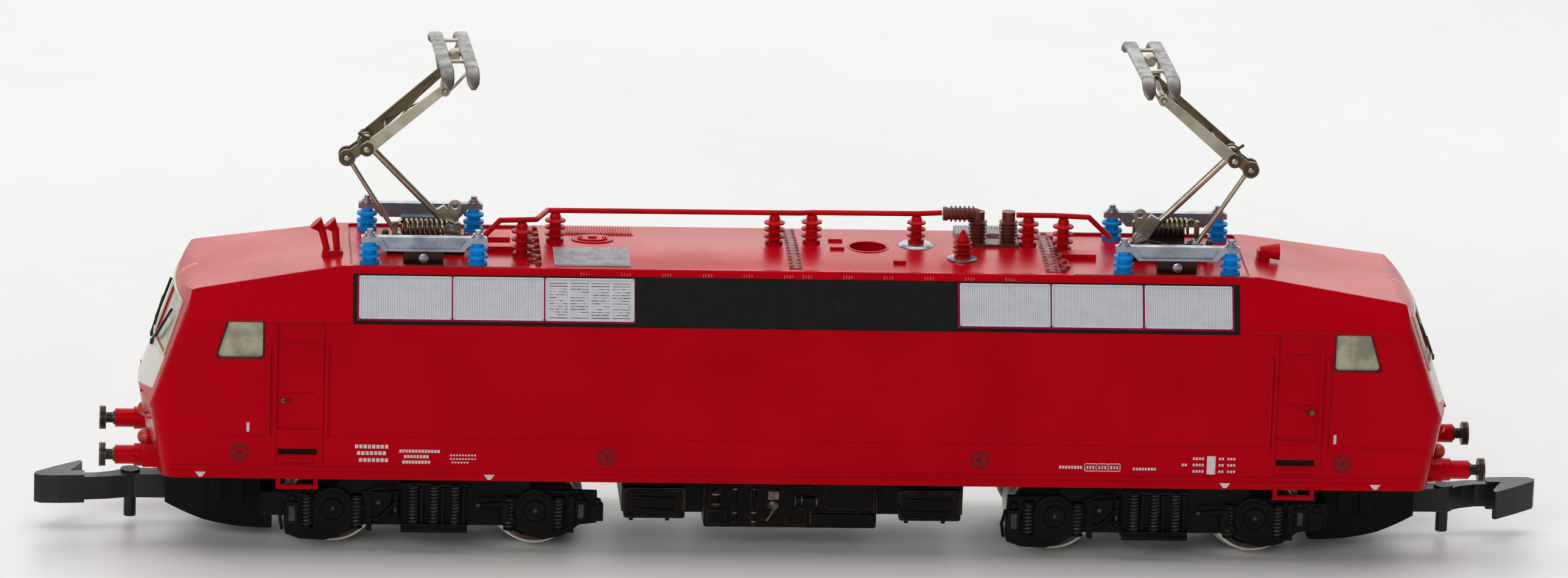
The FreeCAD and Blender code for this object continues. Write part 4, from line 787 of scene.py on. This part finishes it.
def add_pan(end, turn, roll):
    """The two worn contact strips with their horns, their cross bars and the wires that carry them.

    They hang askew on the head's pivot, turned by roll degrees about the length of the model.
    """
    lean_x, rise, yaw, strip_x = -0.6, 1.75, 5.0, 0.8
    centre = Matrix.Translation((panto_x + head_pivot[0] + lean_x, 0, head_pivot[1] + rise))
    askew = Matrix.Rotation(math.radians(yaw), 4, "Z") @ Matrix.Rotation(math.radians(roll), 4, "X")
    hung = centre @ askew
    strips, carriers = Shape(), Shape()
    steps = 36
    reach, bend_at = 4.3, 3.15
    strip_half, horn_drop = 0.43, 0.95
    for x in (-strip_x, strip_x):
        rings = []
        for i in range(steps + 1):
            y = reach * (2 * i / steps - 1)
            over = max(0.0, (abs(y) - bend_at) / (reach - bend_at))
            half = strip_half * math.sqrt(max(0.12, 1 - over ** 6))
            z = -horn_drop * over ** 1.6
            thick = 0.25 - 0.1 * over
            rings.append([(x - half, y, z), (x + half, y, z), (x + half, y, z + thick * 0.6),
                          (x + half * 0.7, y, z + thick), (x - half * 0.7, y, z + thick),
                          (x - half, y, z + thick * 0.6)])
        strips.skin(rings)
    for y in (-1.9, 1.9):
        carriers.block((-strip_x, y - 0.15, 0.02), (strip_x, y + 0.15, 0.2))
    carriers.lathe([(0.3, -0.35), (0.38, -0.25), (0.38, 0.25), (0.3, 0.35)], (0, 0.4, 0.0), (0, 1, 0), 18)
    carriers.block((-strip_x, 0.28, -0.03), (strip_x, 0.52, 0.12))
    head = "panto_head_" + end
    pans = strips.done("contact_strips_" + end, head, "panto_strips", "silver_metal", [turn @ hung],
                       bevel=0.03)
    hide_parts(head)
    carriers.done("strip_bars_" + end, head, "nickel", "nickel", [turn @ hung], bevel=0.03)
    wires = Shape()
    for y in (-2.87, 2.87):
        foot = Vector((panto_x + head_pivot[0], y, head_pivot[1]))
        wires.ring(foot - Vector((0, 0.12, 0)), (0, 1, 0), 0.34, 0.2, 0.24)
        for side in (-1, 1):
            tip = hung @ Vector((side * strip_x, y, 0.05))
            knee = foot.lerp(tip, 0.35) + Vector((side * 0.22, 0, 0))
            wires.tube([foot + Vector((side * 0.25, 0, 0)), knee, tip], 0.1)
    wires.done("head_wires_" + end, head, "nickel", "nickel", [turn])


def add_pantograph(end, turn):
    """Spring, pins and small fittings of one pantograph, given at the front end and turned for the rear."""
    places = [turn @ Matrix.Translation((panto_x, 0, 0))]
    near = -1 if end == "front" else 1
    spring = Shape()
    y, z = 1.25, 20.15
    radius, wire = 0.46, 0.1
    spring.coil((-1.5, y, z), (1.3, y, z), radius, wire, 9)
    spring.tube([(-2.2, y, z + 0.15), (-1.9, y, z + 0.3), (-1.5, y, z + radius)], wire)
    spring.tube([(1.3, y, z + radius), (1.6, y, z + 0.3), (1.75, y, z + 0.15)], wire)
    for x in (-2.2, 1.75):
        spring.block((x - 0.16, y - 0.13, 18.85), (x + 0.16, y + 0.13, z))
        spring.lathe([(0.24, -0.2), (0.24, 0.2)], (x, y, z + 0.12), (0, 1, 0), 14)
    coil = spring.done("panto_coil_" + end, "chassis", "spring_wire", "steel", places, bevel=0.02)
    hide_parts("panto_spring_" + end)

    fittings = Shape()
    for x, off, r in ((-2.75, 1.5, 0.3), (2.35, 0.9, 0.36), (1.05, 1.1, 0.22)):
        stud = [(r, 0), (r, 0.5), (r * 0.6, 0.62), (r * 0.6, 0.95), (r * 0.35, 1.05)]
        fittings.lathe(stud, (x, near * off, 18.8), Z_AXIS)
    fittings.tube([(-2.75, near * 1.5, 19.6), (-1.6, near * 1.4, 19.9), (-0.2, near * 1.2, 19.5),
                   (1.05, near * 1.1, 19.6)], 0.09)
    fittings.done("panto_fittings_" + end, "chassis", "bronze", "dark_metal", places, bevel=0.02)
    screws = Shape()
    for side in (-1, 1):
        screws.lathe([(0.32, 0.25), (0.32, 0.33), (0.22, 0.38)], (0, side * 4.0, 18.95), (0, side, 0))
        for x in (-3.4, 3.4):
            screws.ring((x, side * 4.0, 20.3), Z_AXIS, 0.42, 0.1, 0.07)
    screws.done("panto_screws_" + end, "chassis", "silver", "silver_metal", places, bevel=0.01)

    rings = Shape()
    pins = Shape()
    for (x, z), y in ((elbow, 1.73), (tail, 0.54)):
        for side in (-1, 1):
            rings.ring((x, side * y, z), (0, side, 0), 0.44, 0.22, 0.1)
            pins.lathe([(0.2, -0.05), (0.2, 0.12), (0.12, 0.17)], (x, side * y, z), (0, side, 0), 16)
    spike_x = elbow[0] + 0.1
    rings.tube([(spike_x - 0.55, near * 1.6, elbow[1] + 0.5), (spike_x, near * 1.6, elbow[1] + 0.75),
                (spike_x + 0.45, near * 1.6, elbow[1] + 1.05)], 0.1)
    rings.done("panto_rings_" + end, "upper_arm_" + end, "bronze", "dark_metal", places, bevel=0.015)
    pins.done("panto_pins_" + end, "upper_arm_" + end, "nickel", "nickel", places)
    brace = Shape()
    top = (head_pivot[0] + 0.5, head_pivot[1] - 0.45)
    foot = (elbow[0] - 1.0, elbow[1] + 0.9)
    for side in (-1, 1):
        brace.tube([(foot[0], side * 1.6, foot[1]), ((foot[0] + top[0]) / 2, 0, (foot[1] + top[1]) / 2),
                    (top[0], -side * 2.05, top[1])], 0.055)
    brace.done("panto_brace_" + end, "upper_arm_" + end, "bronze", "dark_metal", places)
    collars = Shape()
    for side in (-1, 1):
        collars.ring((head_pivot[0], side * 2.6, head_pivot[1]), (0, side, 0), 0.26, 0.14, 0.1, 18)
    collars.done("panto_collars_" + end, "upper_arm_" + end, "nickel", "nickel", places)


# ---------------- bogies and underfloor
frame_y = -5.75                 # outer face of the bogie side frame


def bogie_side_parts():
    """Springs, bright bolts and black fittings of one bogie side, around the bogie's own middle."""
    springs, bolts, black = Shape(), Shape(), Shape()
    for i in (-1, 0, 1):
        springs.coil((1.33 * i, -5.95, 2.05), (1.33 * i, -5.95, 4.5), 0.3, 0.062, 11)
        black.block((1.33 * i + 0.42, -6.05, 2.0), (1.33 * i + 0.62, -5.7, 4.4))
        black.lathe([(0.4, 0), (0.4, 0.12), (0.26, 0.18)], (1.33 * i, -5.95, 4.48), Z_AXIS, 16)
    black.block((-2.15, -6.2, 4.5), (2.15, -5.7, 4.7))
    black.lathe([(0.17, -2.1), (0.17, 2.1)], (0, -6.2, 1.62), X_AXIS, 12)
    for x in (-half_wheelbase, half_wheelbase):
        z = axle_z - 0.12
        black.ring((x, -6.03, z), NEARWARD, 1.02, 0.78, 0.1)
        black.ring((x, -6.22, z), NEARWARD, 0.6, 0.42, 0.08)
        bolts.lathe([(0.14, 0), (0.14, 0.06), (0.06, 0.1)], (x, -6.24, z), NEARWARD, 12)
        for k in range(4):
            a = math.pi / 4 + math.pi / 2 * k
            black.lathe([(0.1, 0), (0.1, 0.12)], (x + 0.9 * math.cos(a), -6.05, z + 0.9 * math.sin(a)),
                        NEARWARD, 8)
        arch = [(x + 1.25 * math.cos(math.pi * k / 10), -6.0, z + 1.25 * math.sin(math.pi * k / 10))
                for k in range(11)]
        black.tube(arch, 0.12)
        for dx in (-1.65, 1.5):
            springs.coil((x + dx, -5.85, 1.75), (x + dx, -5.85, 3.7), 0.31, 0.06, 8)
            black.lathe([(0.38, 0), (0.38, 0.1)], (x + dx, -5.85, 3.75), Z_AXIS, 14)
            black.lathe([(0.38, 0), (0.38, 0.1)], (x + dx, -5.85, 1.62), Z_AXIS, 14)
        black.block((x + 2.1, -6.1, 1.5), (x + 2.45, -5.7, 3.9))
        black.block((x + 2.0, -6.15, 2.9), (x + 2.55, -5.7, 3.1))
    black.lathe([(0.12, 0), (0.12, 0.7), (0.2, 0.75), (0.2, 1.7), (0.12, 1.75), (0.12, 2.4)],
                (2.7, -6.05, 3.28), (1, 0, 0.02), 14)
    bolts.lathe([(0.13, 0), (0.13, 0.1)], (2.75, -6.1, 3.28), NEARWARD, 10)
    bolts.lathe([(0.15, 0), (0.15, 0.1)], (-3.55, -6.0, 3.35), NEARWARD, 12)
    black.tube([(-4.6, -5.9, 3.9), (-3.6, -6.02, 4.3), (-2.5, -6.02, 4.35)], 0.09)
    black.tube([(-4.3, -5.95, 2.6), (-3.8, -6.05, 2.2), (-3.2, -6.05, 2.5), (-2.5, -6.0, 3.3)], 0.1)
    for z in (2.5, 3.3, 4.0):
        black.ring((-2.42, -5.9, z), Z_AXIS, 0.32, 0.15, 0.12, 14)
    bolts.block((-2.55, -6.16, 2.75), (-2.38, -6.1, 3.05))
    for x, z, r in ((-9.0, 3.6, 0.22), (-8.2, 3.7, 0.2), (9.25, 3.85, 0.2), (10.35, 3.55, 0.22),
                    (5.0, 2.2, 0.24)):
        black.lathe([(r, 0), (r, 0.35), (r * 0.6, 0.42)], (x, frame_y, z), NEARWARD, 12)
    bolts.block((-9.2, -6.17, 2.1), (-8.8, -6.1, 3.1))
    bolts.block((9.1, -6.17, 2.5), (9.45, -6.1, 3.4))
    black.tube([(-9.5, -5.9, 3.3), (-9.75, -5.95, 2.4), (-9.6, -5.9, 1.5)], 0.12)
    return springs, bolts, black


def add_bogie(end, x):
    """Both sides of the bogie whose middle is at x, and the ribs of its coupler pocket."""
    middle = Matrix.Translation((x, 0, 0))
    sides = [middle, middle @ HALF_TURN]
    springs, bolts, black = bogie_side_parts()
    springs.done("bogie_springs_" + end, "bogie_" + end, "spring_black", "dark_metal", sides)
    bolts.done("bogie_bolts_" + end, "bogie_" + end, "spring_black", "dark_metal", sides, bevel=0.015)
    black.done("bogie_fittings_" + end, "bogie_" + end, "black_plastic", "dark_plastic", sides, bevel=0.02)
    outward = 1 if x > 0 else -1
    pocket = Shape()
    for side in (-1, 1):
        for dx, width, z0 in ((12.0, 0.9, 2.6), (13.4, 0.8, 2.4)):
            y = sorted((side * 3.15, side * 3.55))
            xs = sorted((outward * dx, outward * (dx + width)))
            pocket.block((xs[0], y[0], z0), (xs[1], y[1], 4.4))
    pocket.done("bogie_pocket_ribs_" + end, "bogie_" + end, "black_plastic", "dark_plastic", [middle],
                bevel=0.04)


def add_tank_details():
    """Pipes, straps, rings and small boxes on both sides of the underfloor tank."""
    dark, bright = Shape(), Shape()
    side = -5.7
    for x0, x1 in ((-10.9, -7.0), (6.6, 10.55)):
        for z in (3.0, 3.78):
            dark.lathe([(0.05, 0), (0.09, 0.08), (0.09, x1 - x0 - 1.1), (0.05, x1 - x0 - 1.02)],
                       (x0 + 0.35, side - 0.02, z), X_AXIS, 10)
        dark.tube([(x0 + 0.15, side, 2.6), (x1 - 0.15, side, 2.6), (x1 - 0.1, side, 4.25),
                   (x0 + 0.1, side, 4.25)], 0.06, closed=True)
        for x in (x0 + 0.5, x1 - 1.1):
            dark.lathe([(0.14, -0.2), (0.14, 0.06)], (x, -5.45, 2.42), Z_AXIS, 10)
    for x in (-3.8, -2.62):
        for z in (2.15, 2.75, 4.3):
            bright.ring((x, -5.42, z), Z_AXIS, 0.21, 0.1, 0.12, 14)
    bright.block((-1.75, -5.82, 3.75), (-1.05, -5.6, 4.3))
    bright.lathe([(0.34, 0), (0.34, 0.1), (0.2, 0.2), (0.1, 0.22)], (-1.4, -5.68, 3.35), NEARWARD, 18)
    bright.tube([(-1.35, -5.6, 3.1), (-1.55, -5.7, 2.7), (-1.8, -5.6, 2.3)], 0.1)
    for x in (-0.05, 0.35, 1.3):
        bright.ring((x, -5.4, 3.62), X_AXIS, 0.4, 0.3, 0.1, 20)
    for z in (3.3, 3.95):
        bright.ring((-5.05, -5.3, z), Z_AXIS, 0.38, 0.3, 0.12, 18)
    dark.block((1.9, -5.48, 3.05), (5.05, -5.35, 4.7))
    dark.tube([(1.0, -5.42, 4.55), (-0.5, -5.42, 4.5), (-0.9, -5.45, 4.1)], 0.09)
    dark.block((-5.6, -5.5, 2.0), (-4.4, -5.35, 2.9))
    dark.block((-0.6, -5.5, 2.0), (0.7, -5.35, 3.1))
    places = [SAME, MIRROR_Y]
    dark.done("tank_fittings", "chassis", "tank", "dark_plastic", places, bevel=0.02)
    bright.done("tank_bright_parts", "chassis", "tank_bright", "dark_metal", places, bevel=0.015)


add_grille_band()
add_side_trim()
add_side_marks()
add_nose_details()
add_roof_details()
for end, turn in (("front", SAME), ("rear", HALF_TURN)):
    add_pantograph(end, turn)
    add_pan(end, turn, pan_roll if end == "front" else -pan_roll)
for end, x in (("front", bogie_x), ("rear", -bogie_x)):
    add_bogie(end, x)
add_tank_details()


# ---------------- stage, light and camera
def add_stage_sheet(name, profile, half_x, finish):
    """A smooth stage surface with the (y, z) profile given, in metres."""
    mesh = bmesh.new()
    rows = [[mesh.verts.new((x, y, z)) for y, z in profile] for x in (-half_x, half_x)]
    for i in range(len(profile) - 1):
        mesh.faces.new((rows[0][i], rows[1][i], rows[1][i + 1], rows[0][i + 1]))
    data = bpy.data.meshes.new(name)
    mesh.to_mesh(data)
    mesh.free()
    for polygon in data.polygons:
        polygon.use_smooth = True
    sheet = bpy.data.objects.new(name, data)
    bpy.context.scene.collection.objects.link(sheet)
    data.materials.append(finish)
    return sheet


def add_stage():
    """A pale table, and behind the model a pale curved screen that the camera doesn't see."""
    white = material("table_white", (0.80, 0.80, 0.79), (0.78, 0.78, 0.77), (0.35, 0.5), grain=4, patch=60,
                     relief=0.01)
    table_half = 2.5
    add_stage_sheet("table", [(-table_half, 0.0), (table_half, 0.0)], table_half, white)
    screen_y, bend, height, screen_half = 0.55, 0.18, 0.9, 1.6
    steps = 16
    angles = [math.pi / 2 * i / steps for i in range(1, steps + 1)]
    profile = [(screen_y - bend + bend * math.sin(a), bend * (1 - math.cos(a))) for a in angles]
    screen = add_stage_sheet("screen", profile + [(screen_y, height)], screen_half, white)
    screen.visible_camera = False


def add_area(name, location, target, size, power):
    """A rectangular softbox, in metres and watts, that the camera doesn't see."""
    light = bpy.data.lights.new(name, "AREA")
    light.shape = "RECTANGLE"
    light.size, light.size_y = size
    light.energy = power
    lamp = bpy.data.objects.new(name, light)
    lamp.location = location
    lamp.visible_camera = False
    lamp.rotation_euler = (Vector(target) - Vector(location)).to_track_quat("-Z", "Y").to_euler()
    bpy.context.scene.collection.objects.link(lamp)


def add_lights():
    """A dim pale world and four softboxes."""
    world = bpy.data.worlds.new("studio")
    world.use_nodes = True
    background = world.node_tree.nodes["Background"]
    background.inputs["Color"].default_value = (0.9, 0.92, 0.95, 1)
    background.inputs["Strength"].default_value = 0.09
    bpy.context.scene.world = world
    add_area("softbox_top", (0.0, 0.05, 0.6), (0, 0.05, 0), (0.9, 0.6), 2.0)
    add_area("softbox_front", (-0.38, -0.75, 0.42), (0, 0, 0.0), (0.9, 0.4), 3.7)
    add_area("backdrop_light", (0.0, 0.1, 0.75), (0, 0.5, 0.25), (1.2, 0.3), 2.0)
    add_area("softbox_back", (0.0, 0.5, 0.24), (0, 0, 0.05), (1.1, 0.32), 1.25)


def add_camera():
    """The viewpoint, by azimuth, elevation and roll in degrees, and distance and aim in millimetres."""
    azimuth, elevation, roll = (math.radians(a) for a in (-4.109, 16.016, 1.866))
    distance, aim_right, aim_up = 624.66, -0.563, 5.777
    back = Vector((math.sin(azimuth) * math.cos(elevation), -math.cos(azimuth) * math.cos(elevation),
                   math.sin(elevation)))
    right = Vector((math.cos(azimuth), math.sin(azimuth), 0))
    up = back.cross(right)
    rolled_right = right * math.cos(roll) + up * math.sin(roll)
    rolled_up = up * math.cos(roll) - right * math.sin(roll)
    aim = Vector((0, 0, 10))
    place = aim + back * distance + rolled_right * aim_right + rolled_up * aim_up
    data = bpy.data.cameras.new("camera")
    data.sensor_width = 36
    data.lens = 224.8
    data.clip_start, data.clip_end = 0.01, 10
    camera = bpy.data.objects.new("camera", data)
    turn = Matrix((rolled_right, rolled_up, back)).transposed().to_4x4()
    camera.matrix_world = Matrix.Translation(place * MM) @ turn
    bpy.context.scene.collection.objects.link(camera)
    bpy.context.scene.camera = camera


add_stage()
add_lights()
add_camera()
bpy.context.scene.view_settings.view_transform = "Standard"
